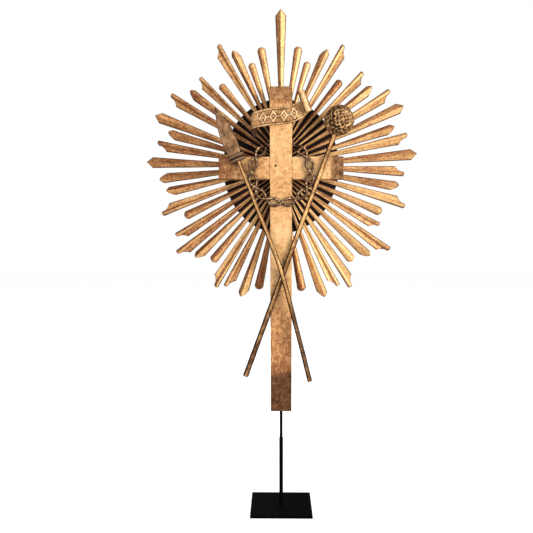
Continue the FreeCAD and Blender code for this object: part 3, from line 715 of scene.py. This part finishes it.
def make_bar():
    inner = post_half(CROSSING_Z) - 0.3
    half = (BAR_TOP_Z - BAR_BOTTOM_Z) / 2
    stations = [(-BAR_HALF_LENGTH, half - 0.4, BAR_FRONT_Y + 0.4, POST_BACK_Y - 0.4)]
    places = list(np.linspace(-BAR_HALF_LENGTH + 0.5, -inner, 30))
    stations += [(x, half, BAR_FRONT_Y, POST_BACK_Y) for x in places]
    stations += [(x, half, 0.0, POST_BACK_Y) for x in np.linspace(-inner, inner, 8)]
    stations += [(-x, half, BAR_FRONT_Y, POST_BACK_Y) for x in reversed(places)]
    stations.append((BAR_HALF_LENGTH, half - 0.4, BAR_FRONT_Y + 0.4, POST_BACK_Y - 0.4))

    def tone(x, z):
        light = 0.58 - 0.40 * step(-x, 84.0, 110.0) - 0.46 * step(x, 84.0, 112.0)
        # Painted light: lighter right of the post, against the shadow of the crown and the lance; darker
        # left of the post.
        light += 0.24 * step(x, 18.0, 30.0) - 0.20 * step(-x, 18.0, 40.0)
        light += 0.14 * rough((x, 0, z), 22.0, 4)
        return light + 0.45 * rough((x, 0, z), 6.0, 6) * step(abs(x), 70.0, 96.0)

    def joint(x, z):
        left_end = 0.68 * step(-x, 72.0, 104.0)
        right_end = 0.84 * step(x, 82.0, 108.0)
        return max(0.95 * step(abs(x), inner + 2.4, inner + 0.4), left_end, right_end)

    shape = beam(stations, lambda a, b, depth: (a, depth, CROSSING_Z + b), 2,
                 [(-BAR_HALF_LENGTH, END_WEAR), (BAR_HALF_LENGTH, END_WEAR)], tone, joint)
    return shape.make("crossbar_wood", ["crossbar"], "gilt_cross", [CROSS_GILT, BARE_WOOD])


# ---------------------------------------------------------------- rays
# places of a ray's columns across its width, closer together at its edges and at its ridge or valley
LEFT_EDGE, RIGHT_EDGE = [-0.5, -0.475, -0.44], [0.44, 0.475, 0.5]
FACET_SHARES = LEFT_EDGE + [-0.38, -0.28, -0.18, -0.09, -0.05, -0.02, 0.0, 0.02, 0.09, 0.18, 0.28,
                            0.38] + RIGHT_EDGE
SKEW_SHARES = LEFT_EDGE + [-0.34, -0.24, -0.13, -0.02, 0.03, 0.07, 0.10, 0.12, 0.15, 0.22, 0.30,
                           0.38] + RIGHT_EDGE
NOTCH_SHARES = LEFT_EDGE + [-0.38, -0.30, -0.22, -0.14, -0.06, 0.0, 0.02, 0.035, 0.06, 0.10, 0.16, 0.22,
                            0.28, 0.34, 0.40] + RIGHT_EDGE
SKEW_RIDGE = 0.12
VALLEY = 0.03
BEAD_MIDDLE, BEAD_HALF = 0.265, 0.24
RAY_STATIONS = 54
ROUND_STATIONS, ROUND_END_STATIONS, ROUND_COLUMNS = 44, 10, 15
BACK_MARKS = (0.5, 0.8)         # wear and grime on the flat back of every ray


def ray_rise(form, share):
    """Height of a faceted ray above its edges, as a share of its width."""
    if form == "notched":
        if share > VALLEY:
            bow = max(0.0, 1 - ((share - BEAD_MIDDLE) / BEAD_HALF) ** 2)
            return -0.03 + 0.26 * bow ** 0.62
        return -0.03 + 0.08 * ((VALLEY - share) / (0.5 + VALLEY)) ** 1.35
    middle = SKEW_RIDGE if form == "skew" else 0.0
    if share > middle:
        return RIDGE_RISE * (0.5 - share) / (0.5 - middle)
    return RIDGE_RISE * (0.5 + share) / (0.5 + middle)


def ray_end(form, share, tip, width):
    """How far out a faceted ray goes at this share of its width."""
    if form == "notched":
        if share > VALLEY:
            bow = max(0.0, 1 - ((share - 0.28) / 0.26) ** 2)
            return tip - 0.20 * width * (1 - math.sqrt(bow))
        scoop = (share + 0.5) / (VALLEY + 0.5)
        hollow = 0.5 * math.sqrt(max(0.0, 1 - scoop ** 2)) + 0.5 * (1 - scoop)
        return tip - 0.25 * width - 0.70 * width * hollow
    if form == "skew":
        if share > SKEW_RIDGE:
            return tip - 0.38 * width * ((share - SKEW_RIDGE) / (0.5 - SKEW_RIDGE)) ** 1.7
        return tip - 0.80 * width * ((SKEW_RIDGE - share) / (0.5 + SKEW_RIDGE)) ** 1.7
    return tip - 0.5 * width * abs(share) / 0.5


FACET_LIGHT = (1.05, -0.32)     # painted light: in the plane of the rays, facets leaning this way are painted brighter and the others darker


def facet_lean(form, share):
    """1 where a ray's face leans towards its +v edge, -1 where it leans the other way."""
    if form == "notched":
        return step(share, BEAD_MIDDLE - 0.06, BEAD_MIDDLE + 0.06) * 2 - 1 if share > VALLEY else 0.5
    middle = SKEW_RIDGE if form == "skew" else 0.0
    soft = 0.38 if form == "round" else 0.05
    return step(share, middle - soft, middle + soft) * 2 - 1


def root_shade(u):
    """Painted shade where the rays crowd together over the board, near the cross."""
    return 0.62 * step(u, 150.0, 80.0)


def faceted_ray(form, tip, seed):
    """Rings of ((u, v, w), (wear, grime)): u runs outward, v across and w up from the back."""
    shares = {"notched": NOTCH_SHARES, "skew": SKEW_SHARES}.get(form, FACET_SHARES)
    tip_width = RAY_TAPER * tip
    ridge_at = {"notched": BEAD_MIDDLE, "skew": SKEW_RIDGE}.get(form, 0.0)
    rings = []
    for s in 1 - (1 - np.linspace(0, 1, RAY_STATIONS)) ** 1.25:
        top, back = [], []
        for share in shares:
            u = RAY_ROOT + (ray_end(form, share, tip, tip_width) - RAY_ROOT) * s
            width = RAY_TAPER * u
            edge = step(abs(share), 0.42, 0.5)
            ridge = step(abs(share - ridge_at), 0.07, 0.0)
            scored = step(abs(share - ridge_at + 0.05), 0.055, 0.0)
            scored *= step(rough((u, 3, 0), 30.0, seed + 6), -0.5, 0.3)
            end = step(s, 0.955, 1.0)
            across = share * width + 0.30 * rough((u, 0, 0), 34.0, seed) * step(u, 40, 90)
            chip = step(rough((u, share * 9, 0), 6.5, seed + 0.5), 0.42, 0.70) * max(edge, 0.6 * ridge, end)
            w = RAY_EDGE_THICK + ray_rise(form, share) * width
            w += 0.22 * rough((u, across, 0), 15.0, seed + 1) - 0.35 * step(abs(share), 0.47, 0.5)
            w -= 1.1 * chip + 0.25 * ridge * step(rough((u, 0, 0), 11.0, seed + 2), 0.0, 0.5)
            # Painted shade in the notch's valley.
            hollow = 0.75 * step(abs(share - VALLEY), 0.05, 0.01) if form == "notched" else 0.0
            # Painted shade along both edges of the ray's top, as dark outlines.
            side_shade = step(abs(share), 0.35, 0.45)
            worn = max(edge * 0.6, ridge * 0.35, end * 0.5, chip)
            dirty = max(hollow, side_shade, 0.5 * chip, 0.75 * end, 0.62 * scored)
            top.append(((u, across, w), (worn, dirty)))
            back.append(((u, across, 0.0), BACK_MARKS))
        rings.append(top + back[::-1])
    return rings


def round_ray(tip, seed):
    """A half-round ray with a round end, as rings like a faceted ray's."""
    end_r = ROUND_TAPER * tip / 2
    shoulder = tip - end_r
    stations = [(u, ROUND_TAPER * u / 2) for u in np.linspace(RAY_ROOT, shoulder, ROUND_STATIONS)]
    for turn in np.linspace(0, math.pi / 2, ROUND_END_STATIONS)[1:]:
        stations.append((shoulder + end_r * math.sin(turn), max(end_r * math.cos(turn), 0.15)))
    rings = []
    for u, r in stations:
        top, back = [], []
        for turn in np.linspace(-math.pi / 2, math.pi / 2, ROUND_COLUMNS):
            share = math.sin(turn)
            wobble = 0.30 * rough((u, 0, 0), 34.0, seed) * step(u, 40, 90)
            across = r * share + wobble
            chip = step(rough((u, share * 8, 0), 6.0, seed + 0.5), 0.46, 0.7)
            w = ROUND_BASE_THICK + r * math.cos(turn)
            w += 0.20 * rough((u, across, 0), 13.0, seed + 1) * min(1.0, r / 3) - 0.5 * chip
            worn = 0.55 * step(abs(share), 0.5, 0.0) + 0.4 * chip
            # Painted shade down both sides of the half-round ray.
            dirty = 0.95 * step(abs(share), 0.72, 0.95)
            top.append(((u, across, max(w, ROUND_BASE_THICK * 0.6)), (worn, dirty)))
            back.append(((u, across, 0.0), BACK_MARKS))
        rings.append(top + back[::-1])
    return rings


def make_ray(name, node, form, direction_deg, reach, left, seed, tone):
    kind = form.split("_")[0]
    angle = math.radians(direction_deg)
    apex = APEX_SPREAD * math.cos(angle) * abs(math.cos(angle))
    out_x = reach * math.sin(angle)
    out_z = reach * math.cos(angle) - apex
    tip = math.hypot(out_x, out_z)
    sine, cosine = out_x / tip, out_z / tip
    mirror = -1 if left else 1
    flip = -1 if form.endswith("_down") else 1
    rings = round_ray(tip, seed) if kind == "round" else faceted_ray(kind, tip, seed)
    taper = ROUND_TAPER if kind == "round" else RAY_TAPER
    towards_light = FACET_LIGHT[1] * sine * flip - FACET_LIGHT[0] * mirror * cosine * flip
    placed = []
    for ring in rings:
        placed_ring = []
        for (u, v, w), (worn, dirty) in ring:
            x = mirror * (sine * u - cosine * v * flip)
            z = SUN_Z + apex + cosine * u + sine * v * flip
            # Painted light and shade: facets facing the light direction are painted lighter, the others
            # darker, and facets turned away get painted shade near the roots.
            lit = towards_light * facet_lean(kind, v / (taper * u))
            shown = tone + 0.30 * lit + 0.20 * step(lit, 0.1, 0.4) * step(u, 190.0, 110.0)
            shown += 0.22 * rough((u, 0, 0), 60.0, seed + 4)
            soot_and_shade = max(dirty, root_shade(u) * step(lit, 0.20, -0.20), -0.45 * lit)
            placed_ring.append(((x, RAY_BACK_Y - w, z), (u, v, w + 31 * seed), (worn, soot_and_shade, shown)))
        placed.append(placed_ring)
    columns = len(placed[0])
    shape = Shape()
    shape.add_rings(placed, caps="strip", bare_columns=set(range(columns // 2, columns)))
    return shape.make(name, [node], "gilt_rays", [RAY_GILT, BARE_WOOD], sharp_deg=34.0)


def make_rays():
    make_ray("ray_top_carved", "ray_top", "arrow", 0.0, TOP_RAY_REACH, False, 1, 0.55)
    for number, (form, *numbers) in enumerate(RAY_PAIRS, 1):
        for left, side in enumerate(("right", "left")):
            direction_deg, reach, tone = numbers[3 * left:3 * left + 3]
            side_form = LEFT_FORMS.get(number, form) if left else form
            make_ray("ray_%02d_%s" % (number, side), "ray_pair_%02d" % number, side_form,
                     direction_deg, reach, bool(left), 2 * number + left, tone)


# ---------------------------------------------------------------- titulus scroll
RIBBON_SAMPLES = 260
ROLL_SAMPLES = 90
ACROSS_SAMPLES = 46
FIELD_START, FIELD_END = 40.0, 126.0    # where the ornament begins and ends along the ribbon
LOZENGE_PITCH = 21.5
LOZENGE_HALF = (8.6, 13.0)
STUD_RADIUS = 2.6


def ornament(along, up):
    """Raised lozenges with studs between them: height in millimetres, and how near an outline is."""
    if not FIELD_START < along < FIELD_END:
        return 0.0, 0.0
    phase = (along - FIELD_START) % LOZENGE_PITCH - LOZENGE_PITCH / 2
    lozenge = abs(phase) / LOZENGE_HALF[0] + abs(up) / LOZENGE_HALF[1]
    to_stud = math.hypot(abs(phase) - LOZENGE_PITCH / 2, up) / STUD_RADIUS
    height = 1.3 * step(lozenge, 1.06, 0.92) - 1.1 * step(lozenge, 0.58, 0.46)
    height += 1.1 * step(lozenge, 0.26, 0.12)
    height += 0.9 * math.sqrt(max(0.0, 1 - to_stud ** 2))
    outline = max(step(abs(lozenge - 1.14), 0.17, 0.0), step(abs(lozenge - 0.40), 0.16, 0.04),
                  step(abs(to_stud - 1.15), 0.3, 0.0))
    return height, outline


def make_scroll():
    lines = smooth_line(RIBBON_STATIONS, RIBBON_SAMPLES)
    lows = [np.array((lx, y, lz)) for lx, lz, hx, hz, y in lines]
    highs = [np.array((hx, y, hz)) for lx, lz, hx, hz, y in lines]
    bottom, top = np.array(ROLL_BOTTOM), np.array(ROLL_TOP)
    axis = unit(top - bottom)
    to_back = np.array([0.0, 1.0, 0.0])
    to_right = np.cross(to_back, axis)
    # from the flat ribbon into the roll, which starts behind its own axis
    start_low, start_high = bottom + to_back * ROLL_RADIUS, top + to_back * ROLL_RADIUS
    for share in np.linspace(0, 1, 22)[1:-1]:
        lows.append(lows[RIBBON_SAMPLES - 1] * (1 - share) + start_low * share)
        highs.append(highs[RIBBON_SAMPLES - 1] * (1 - share) + start_high * share)
    for share in np.linspace(0, 1, ROLL_SAMPLES):
        angle = 2 * math.pi * ROLL_TURNS * share
        radius = ROLL_RADIUS + (ROLL_INNER_RADIUS - ROLL_RADIUS) * share
        offset = to_back * (radius * math.cos(angle)) + to_right * (radius * math.sin(angle))
        lows.append(bottom + offset)
        highs.append(top + offset)

    travelled = 0.0
    rings = []
    shares = np.linspace(0, 1, ACROSS_SAMPLES)
    for i, (low, high) in enumerate(zip(lows, highs)):
        before, after = max(i - 1, 0), min(i + 1, len(lows) - 1)
        if i:
            travelled += np.linalg.norm((low + high - lows[i - 1] - highs[i - 1]) / 2)
        height = np.linalg.norm(high - low)
        front, back = [], []
        in_field = step(travelled, 26.0, 34.0) * step(travelled, 142.0, 132.0)
        rolled = max(0.0, (i - len(lows) + ROLL_SAMPLES) / ROLL_SAMPLES)
        # Painted shade on the roll's back and right side and at its free edge, and a painted highlight down
        # its front.
        inside = step(rolled, 0.56, 0.42) * step(rolled, 0.0, 0.02)
        curl_shade = 0.85 * max(inside, step(rolled, 0.86, 0.97))
        curl_light = step(rolled, 0.56, 0.68) * step(rolled, 0.84, 0.74)
        # Painted shade on the tail that hangs behind the ribbon.
        tail_shade = 0.95 * step(travelled, 34.0, 24.0)
        end = max(step(travelled, 3.0, 0.0), step(i, len(lows) - 5, len(lows) - 1))
        for share in shares:
            centre = low + (high - low) * share
            along = (lows[after] + (highs[after] - lows[after]) * share
                     - lows[before] - (highs[before] - lows[before]) * share)
            normal = unit(np.cross(along, high - low))
            up = (share - 0.5) * height
            border = step(abs(up), height / 2 - 4.0, height / 2 - 3.2)
            groove = step(abs(abs(up) - (height / 2 - 4.4)), 0.9, 0.2)
            raised, outline = ornament(travelled, up)
            tools = 0.16 * math.sin(travelled * 2.6 + 1.5 * rough((travelled, up, 0), 9.0, 3))
            tools *= 1 - border
            relief = in_field * (raised + tools * (1 - min(raised, 1)) + 0.55 * border - 0.15 * groove)
            rounded = step(abs(up), height / 2 - 0.9, height / 2)
            wave = 0.18 * rough(centre, 12.0, 5)
            half = SCROLL_THICK / 2 - 0.45 * rounded
            worn = max(0.9 * rounded, 0.7 * min(raised, 1) * in_field, 0.6 * border * in_field, end)
            dirty = max(outline * in_field, 0.95 * groove * in_field, 0.36 * in_field * (1 - border))
            if raised > 0.7:
                dirty = 0.05
            # Painted shade along the ribbon's edges, at its folded left end and where it turns into the
            # roll.
            rim_shade = 0.9 * step(abs(up), height / 2 - 1.1, height / 2 - 0.2)
            dirty = max(dirty, rim_shade, 0.75 * step(travelled, 26.0, 8.0), 0.9 * step(rolled, 0.05, 0.2))
            front_marks = (worn, dirty, 0.45 + in_field * max(0.2 * border, 0.5 * min(raised, 1)))
            back_marks = (max(rounded, end) * 0.9, max(tail_shade, curl_shade, 0.25), 0.4 + 0.5 * curl_light)
            front.append((centre + normal * (half + relief + wave), (up, travelled, 0), front_marks))
            back.append((centre - normal * (half - wave), (up, travelled, 9), back_marks))
        rings.append(front + back[::-1])
    shape = Shape()
    shape.add_rings(rings, caps="strip")
    return shape.make("scroll_ribbon", ["titulus_scroll"], "gilt_scroll", [SCROLL_GILT], sharp_deg=50.0)


# ---------------------------------------------------------------- crown of thorns
STRAND_STATIONS, STRAND_SIDES = 460, 16
LIT_SIDE = np.array([0.45, -0.86, 0.24])    # the gold is painted brightest on this side of a strand, as a painted highlight
THORNS_PER_STRAND, THORN_SIDES = 26, 7
ANGLE_GRAIN = 60.0              # millimetres along a strand for one radian round the crown


def crown_centre(angle):
    from_top = abs((math.degrees(angle) + 180) % 360 - 180)
    share = step(from_top, CROWN_REAR_DEG, CROWN_FRONT_DEG)
    return np.array([
        CROWN_X + CROWN_HALF_WIDTH * math.sin(angle),
        CROWN_REAR_Y + (CROWN_FRONT_Y - CROWN_REAR_Y) * share,
        CROWN_Z + CROWN_HALF_HEIGHT * math.cos(angle),
    ])


def crown_frame(angle, line):
    """The line's tangent, and the two directions across it: away from the crown's middle, and over."""
    tangent = unit(line(angle + 0.01) - line(angle - 0.01))
    outward = np.array([math.sin(angle), 0, math.cos(angle)])
    outward = unit(outward - tangent * outward.dot(tangent))
    return tangent, outward, np.cross(tangent, outward)


def make_strand(name, node, sign, seed):
    def strand_point(angle):
        _, outward, over = crown_frame(angle, crown_centre)
        swing = sign * CROWN_LOOP * math.sin(CROWN_TWISTS * angle)
        weave = sign * CROWN_WEAVE * math.cos(CROWN_TWISTS * angle)
        return crown_centre(angle) + outward * swing + over * weave

    shape = Shape()
    rings = []
    for i in range(STRAND_STATIONS):
        angle = 2 * math.pi * i / STRAND_STATIONS
        centre = strand_point(angle)
        _, outward, side = crown_frame(angle, strand_point)
        along = angle * ANGLE_GRAIN
        knot = step(rough((along, 0, 0), 3.2, seed), 0.05, 0.40)
        swell = STRAND_D / 2 * (1.02 + 0.28 * knot + 0.10 * rough((along, 0, 0), 1.6, seed + 1))
        ring = []
        for j in range(STRAND_SIDES):
            turn = 2 * math.pi * j / STRAND_SIDES
            lean = outward * math.cos(turn) + side * math.sin(turn)
            radius = swell * (1 + 0.16 * rough(centre + lean * 1.6, 2.4, seed + 2))
            lit = step(lean.dot(LIT_SIDE), 0.62, 0.95)
            shaded = step(lean[1], -0.98, -0.80)
            # Painted highlight on the lit side through the wear, and painted shade at the sides through the
            # grime.
            marks = (0.12 + lit * (0.26 + 0.60 * knot), shaded, 0.5)
            ring.append((centre + lean * radius, (along, turn * 1.6, 11 * seed), marks))
        rings.append(ring)
    shape.add_rings(rings, loop=True)

    for i in range(THORNS_PER_STRAND):
        angle = 2 * math.pi * (i + 0.5 + 0.35 * rough((i * 7.7, 0, 0), 3.0, seed)) / THORNS_PER_STRAND
        root = strand_point(angle)
        tangent, outward, side = crown_frame(angle, strand_point)
        if i % 3 == 2:
            lean = unit(0.5 * outward + 0.7 * tangent - np.array([0, 0.9, 0]))
        else:
            lean = unit(outward * (1 if i % 2 else -1) + 0.55 * tangent - np.array([0, 0.35, 0]))
        length = 5.2 + 1.6 * rough((i * 3.3, 5, 0), 2.0, seed + 3)
        across = unit(np.cross(lean, tangent))
        other = np.cross(lean, across)
        rings = []
        for share in (0.0, 0.25, 0.5, 0.75, 1.0):
            centre = root + lean * (length * share) + tangent * (0.9 * share ** 2)
            radius = 1.15 * (1 - share) ** 0.8 + 0.16
            ring = []
            for k in range(THORN_SIDES):
                t = 2 * math.pi * k / THORN_SIDES
                point = centre + (across * math.cos(t) + other * math.sin(t)) * radius
                ring.append((point, (length * share, t, 5 * seed), (0.3 + 0.7 * share, 0.2, 0.5)))
            rings.append(ring)
        shape.add_rings(rings)
    return shape.make(name, [node], "thorn_vine", [VINE], sharp_deg=60.0)


# ---------------------------------------------------------------- lance and reed
HIGHLIGHT_SIDE = np.array([-0.14, -0.99, 0.0])     # painted highlight: both shafts are painted brightest along this side
LANCE_RING_Z, REED_RING_Z = 333.0, 409.0        # a dark ring round each shaft
SHAFT_STATIONS, SHAFT_SIDES = 240, 24
REED_JOINTS = 5.2


def swept_rod(line, diameters, seed, marks, swell=lambda s: 0.0):
    """A carved rod along a line of points: nearly round, with a painted highlight in front and painted shade
    at its sides.
    """
    line = np.array(line)
    rings = []
    travelled = 0.0
    total = np.linalg.norm(np.diff(line, axis=0), axis=1).sum()
    for i, centre in enumerate(line):
        if i:
            travelled += np.linalg.norm(centre - line[i - 1])
        share = travelled / total
        tangent = unit(line[min(i + 1, len(line) - 1)] - line[max(i - 1, 0)])
        side = unit(np.cross(tangent, np.array([0.0, 1.0, 0.0])))
        out = np.cross(side, tangent)
        base = (diameters[0] + (diameters[1] - diameters[0]) * share) / 2 + swell(share)
        round_end = min(travelled, total - travelled)
        base *= math.sqrt(1 - (1 - min(round_end / 1.6, 1.0)) ** 2 * 0.45)
        worn, dirty = marks(centre)
        ring = []
        for j in range(SHAFT_SIDES):
            turn = 2 * math.pi * j / SHAFT_SIDES
            lean = side * math.cos(turn) + out * math.sin(turn)
            at = centre + lean * base
            radius = base * (1 + 0.030 * rough(at, 7.0, seed) + 0.035 * rough(at, 22.0, seed + 1))
            radius -= 0.5 * dirty * 0.6
            # Painted shade down the rod's sides, and a painted highlight along its front.
            sides_dark = step(-lean[1], 0.93, 0.66)
            highlight_stripe = step(lean.dot(HIGHLIGHT_SIDE), 0.92, 0.99) * (0.85 + 0.6 * rough(at, 14.0, seed + 4))
            highlight_stripe *= 1 - 0.9 * dirty
            rubbed = (0.35 + worn + 0.3 * rough(at, 18.0, seed + 2)) * (1 - highlight_stripe)
            shown = 0.5 + 0.3 * rough(at, 40.0, seed + 3) - 0.3 * dirty + 0.75 * highlight_stripe
            soot_and_shade = max(dirty * (1 - 0.4 * highlight_stripe), sides_dark)
            ring.append((centre + lean * radius, (travelled, base * turn, 17 * seed), (rubbed, soot_and_shade, shown)))
        rings.append(ring)
    shape = Shape()
    shape.add_rings(rings)
    return shape


def make_lance_shaft():
    def marks(point):
        ring = step(abs(point[2] - LANCE_RING_Z), 2.6, 1.0)
        low = 0.66 * step(point[2], 520.0, 400.0)
        return 0.2 * ring, max(0.9 * ring, low)

    shape = swept_rod(smooth_line(LANCE_LINE, SHAFT_STATIONS), (LANCE_TOP_D, LANCE_END_D), 21, marks)
    return shape.make("lance_pole", ["lance_shaft"], "gilt_shafts", [SHAFT_GILT], sharp_deg=50.0)


def make_reed():
    top, end = np.array(REED_TOP), np.array(REED_END)
    start = top + unit(top - end) * REED_IN_SPONGE
    line = [start + (end - start) * s for s in np.linspace(0, 1, SHAFT_STATIONS)]

    def marks(point):
        ring = step(abs(point[2] - REED_RING_Z), 2.6, 1.0)
        brown = 0.44 * step(point[2], 592.0, 560.0) + 0.22 * step(point[2], 470.0, 400.0)
        return 0.2 * ring, max(0.7 * ring, brown)

    def swell(share):
        """Low joints of the reed at regular steps."""
        return 0.35 * step(abs((share * REED_JOINTS) % 1 - 0.5), 0.020, 0.0)

    shape = swept_rod(line, (REED_TOP_D, REED_END_D), 27, marks, swell=swell)
    return shape.make("reed_pole", ["reed_shaft"], "gilt_shafts", [SHAFT_GILT], sharp_deg=50.0)


def tilted(point, centre, tilt_deg):
    """A point made upright at the origin, turned towards the right and moved to its centre."""
    sine, cosine = math.sin(math.radians(tilt_deg)), math.cos(math.radians(tilt_deg))
    x, y, z = point
    cx, cy, cz = centre
    return (cx + x * cosine + z * sine, cy + y, cz - x * sine + z * cosine)


COLLAR_STATIONS, COLLAR_SIDES = 46, 48
COLLAR_RIB = 0.58               # how far out each rib is, as a share of half the length


def make_collar():
    """Two thick ribs with a waist, each rib scored with a fine line."""
    half = COLLAR_LENGTH / 2
    rings = []
    for z in np.linspace(-half, half, COLLAR_STATIONS):
        from_rib = abs(abs(z) - COLLAR_RIB * half) / (0.42 * half)
        rib = math.sqrt(max(0.0, 1 - from_rib ** 2))
        score = step(abs(abs(z) - COLLAR_RIB * half), 0.95, 0.35)
        scale = 0.84 + 0.16 * rib - 0.05 * score
        if abs(z) > half - 0.9:
            scale -= 0.10 * (abs(z) - half + 0.9)
        # Darker all over, with painted shade where the surface sinks into the waist, the scored lines and
        # the ends.
        soot_and_shade = max(step(scale, 0.985, 0.91), 0.60 * score, 0.66)
        ring = []
        for j in range(COLLAR_SIDES):
            turn = 2 * math.pi * j / COLLAR_SIDES
            wave = 1 + 0.02 * rough((math.cos(turn) * 9, math.sin(turn) * 9, z), 5.0, 31)
            x = COLLAR_HALF_WIDTH * scale * wave * math.cos(turn)
            y = COLLAR_HALF_DEPTH * scale * wave * math.sin(turn)
            point = tilted((x, y, z), COLLAR_CENTRE, COLLAR_TILT_DEG)
            ring.append((point, (turn * 12, z, 3), (0.40 * rib, soot_and_shade, 0.5)))
        rings.append(ring)
    shape = Shape()
    shape.add_rings(rings)
    return shape.make("lance_collar_ribs", ["lance_collar"], "bronzed_wood", [BRONZED], sharp_deg=50.0)


BLADE_LENGTH = BLADE_OUTLINE[-1][0]
BLADE_POINT_START = 76.0        # from here the blade thins and darkens towards its tip


def make_blade():
    """A leaf-shaped blade, bevelled to a soft ridge down its middle."""
    foot = COLLAR_LENGTH / 2 - 1.0
    fractions = [-1, -0.96, -0.8, -0.6, -0.4, -0.2, -0.05, 0.05, 0.2, 0.4, 0.6, 0.8, 0.96, 1]
    rings = []
    for along, left, right in smooth_line(BLADE_OUTLINE, 90):
        middle, half = (left + right) / 2, max((right - left) / 2, 0.3)
        to_tip = 1 - step(along, BLADE_POINT_START, BLADE_LENGTH)
        end_soot = max(0.85 * step(along, BLADE_POINT_START, 98.0), 0.9 * step(along, 5.0, 0.0))
        front, back = [], []
        for f in fractions:
            x = middle + half * f
            bevel = 1 - step(abs(f), 0.05, 1.0) * 0.72
            thick = BLADE_THICK / 2 * (0.30 + 0.70 * to_tip) * bevel
            thick += 0.18 * rough((x, along, 0), 11.0, 33)
            # Painted shade along the blade's edges, as dark outlines.
            marks = (0.35 * step(abs(f), 0.25, 0.0), max(end_soot, 0.95 * step(abs(f), 0.80, 0.94)), 0.5)
            for face, depth, layer in ((front, -thick, 0), (back, thick, 7)):
                point = tilted((x, depth, foot + along), COLLAR_CENTRE, COLLAR_TILT_DEG)
                face.append((point, (along + 0.5 * x, x, layer), marks))
        rings.append(front + back[::-1])
    shape = Shape()
    shape.add_rings(rings, caps="strip")
    return shape.make("lance_blade_leaf", ["lance_blade"], "bronzed_wood", [BRONZED], sharp_deg=50.0)


# ---------------------------------------------------------------- sponge
SPONGE_HOLES = 200
SPONGE_LEVELS = 6
FACE_AXIS = (0.30, -0.92, 0.24)     # the sponge's front face looks this way
FACE_GROOVE_DEG = 52.0              # and ends at a groove this far round


def make_sponge():
    """A ball pitted all over with gouged holes, its front face marked off by a groove."""
    work = bmesh.new()
    bmesh.ops.create_icosphere(work, subdivisions=SPONGE_LEVELS, radius=1.0)
    balls = np.array([v.co for v in work.verts])
    faces = [tuple(v.index for v in f.verts) for f in work.faces]
    work.free()
    balls /= np.linalg.norm(balls, axis=1)[:, None]
    warped = balls + 0.055 * np.array([[rough(b * 26, 6.0, s) for s in (51, 52, 53)] for b in balls])
    pull = np.zeros(len(balls))
    near = np.zeros(len(balls))
    golden = math.pi * (3 - math.sqrt(5))
    for i in range(SPONGE_HOLES):
        height = 1 - 2 * (i + 0.5) / SPONGE_HOLES
        turn = golden * i
        flat = math.sqrt(1 - height ** 2)
        centre = np.array([flat * math.cos(turn), flat * math.sin(turn), height])
        jitter = [rough(centre * 30, 1.7, s) for s in (41, 42, 43)]
        centre = unit(centre + 0.10 * np.array(jitter))
        size = 0.112 + 0.055 * rough(centre * 30, 2.3, 44)
        depth = 0.15 + 0.07 * rough(centre * 30, 2.9, 45)
        distance = np.linalg.norm(warped - centre, axis=1) / size
        bowl = np.clip(1 - distance ** 2, 0, 1) ** 0.8
        pull = np.maximum(pull, bowl * depth)
        near = np.maximum(near, np.clip(1.12 - distance, 0, 1))
    from_face = np.degrees(np.arccos(np.clip(warped @ unit(np.array(FACE_AXIS)), -1, 1)))
    groove = np.clip(1 - (np.abs(from_face - FACE_GROOVE_DEG) / 5.0) ** 2, 0, 1)
    outside = np.clip((from_face - FACE_GROOVE_DEG) / 4.0, 0, 1)
    lumps = np.array([rough(b * 26, 8.0, 46) + 0.5 * rough(b * 26, 3.0, 47) for b in balls])
    radius = 0.975 + 0.040 * lumps - pull - 0.09 * groove
    shape = Shape()
    for ball, r, hole, lump, line, out in zip(balls, radius, near, lumps, groove, outside):
        local = [c * half * r for c, half in zip(ball, SPONGE_HALF_SIZE)]
        shape.points.append(tilted(local, SPONGE_CENTRE, SPONGE_TILT_DEG))
        shape.grain.append(tuple(local))
        # Painted shade in the holes, in the groove and on the band outside the front face, which is also
        # toned darker; lumps lighter.
        shape.finish.append((0.15 + 0.4 * max(lump, 0), min(1.0, hole * 1.5 + 0.7 * line + 0.18 * out),
                             0.52 + 0.3 * lump - 0.22 * out))
    shape.faces = faces
    shape.bare = [False] * len(faces)
    return shape.make("sponge_ball", ["sponge"], "gilt_sponge", [SPONGE_GILT], sharp_deg=80.0)


# ---------------------------------------------------------------- all pieces
make_post()
make_bar()
make_rays()
make_scroll()
make_strand("crown_strand_outer_vine", "crown_strand_outer", 1, 11)
make_strand("crown_strand_inner_vine", "crown_strand_inner", -1, 13)
make_lance_shaft()
make_collar()
make_blade()
make_reed()
make_sponge()

CAD_FINISHES = [
    (STEEL, ("base_plate", "sleeve_tube", "sleeve_weld", "support_rod")),
    (BOARD, ("backplate", "hub_block")),
    (IRON, ("hub_screws", "ray_nails", "crossing_nail", "scroll_nails")),
]
for material, node_names in CAD_FINISHES:
    for node_name in node_names:
        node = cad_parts[node_name]
        node.data.materials.clear()
        node.data.materials.append(material)
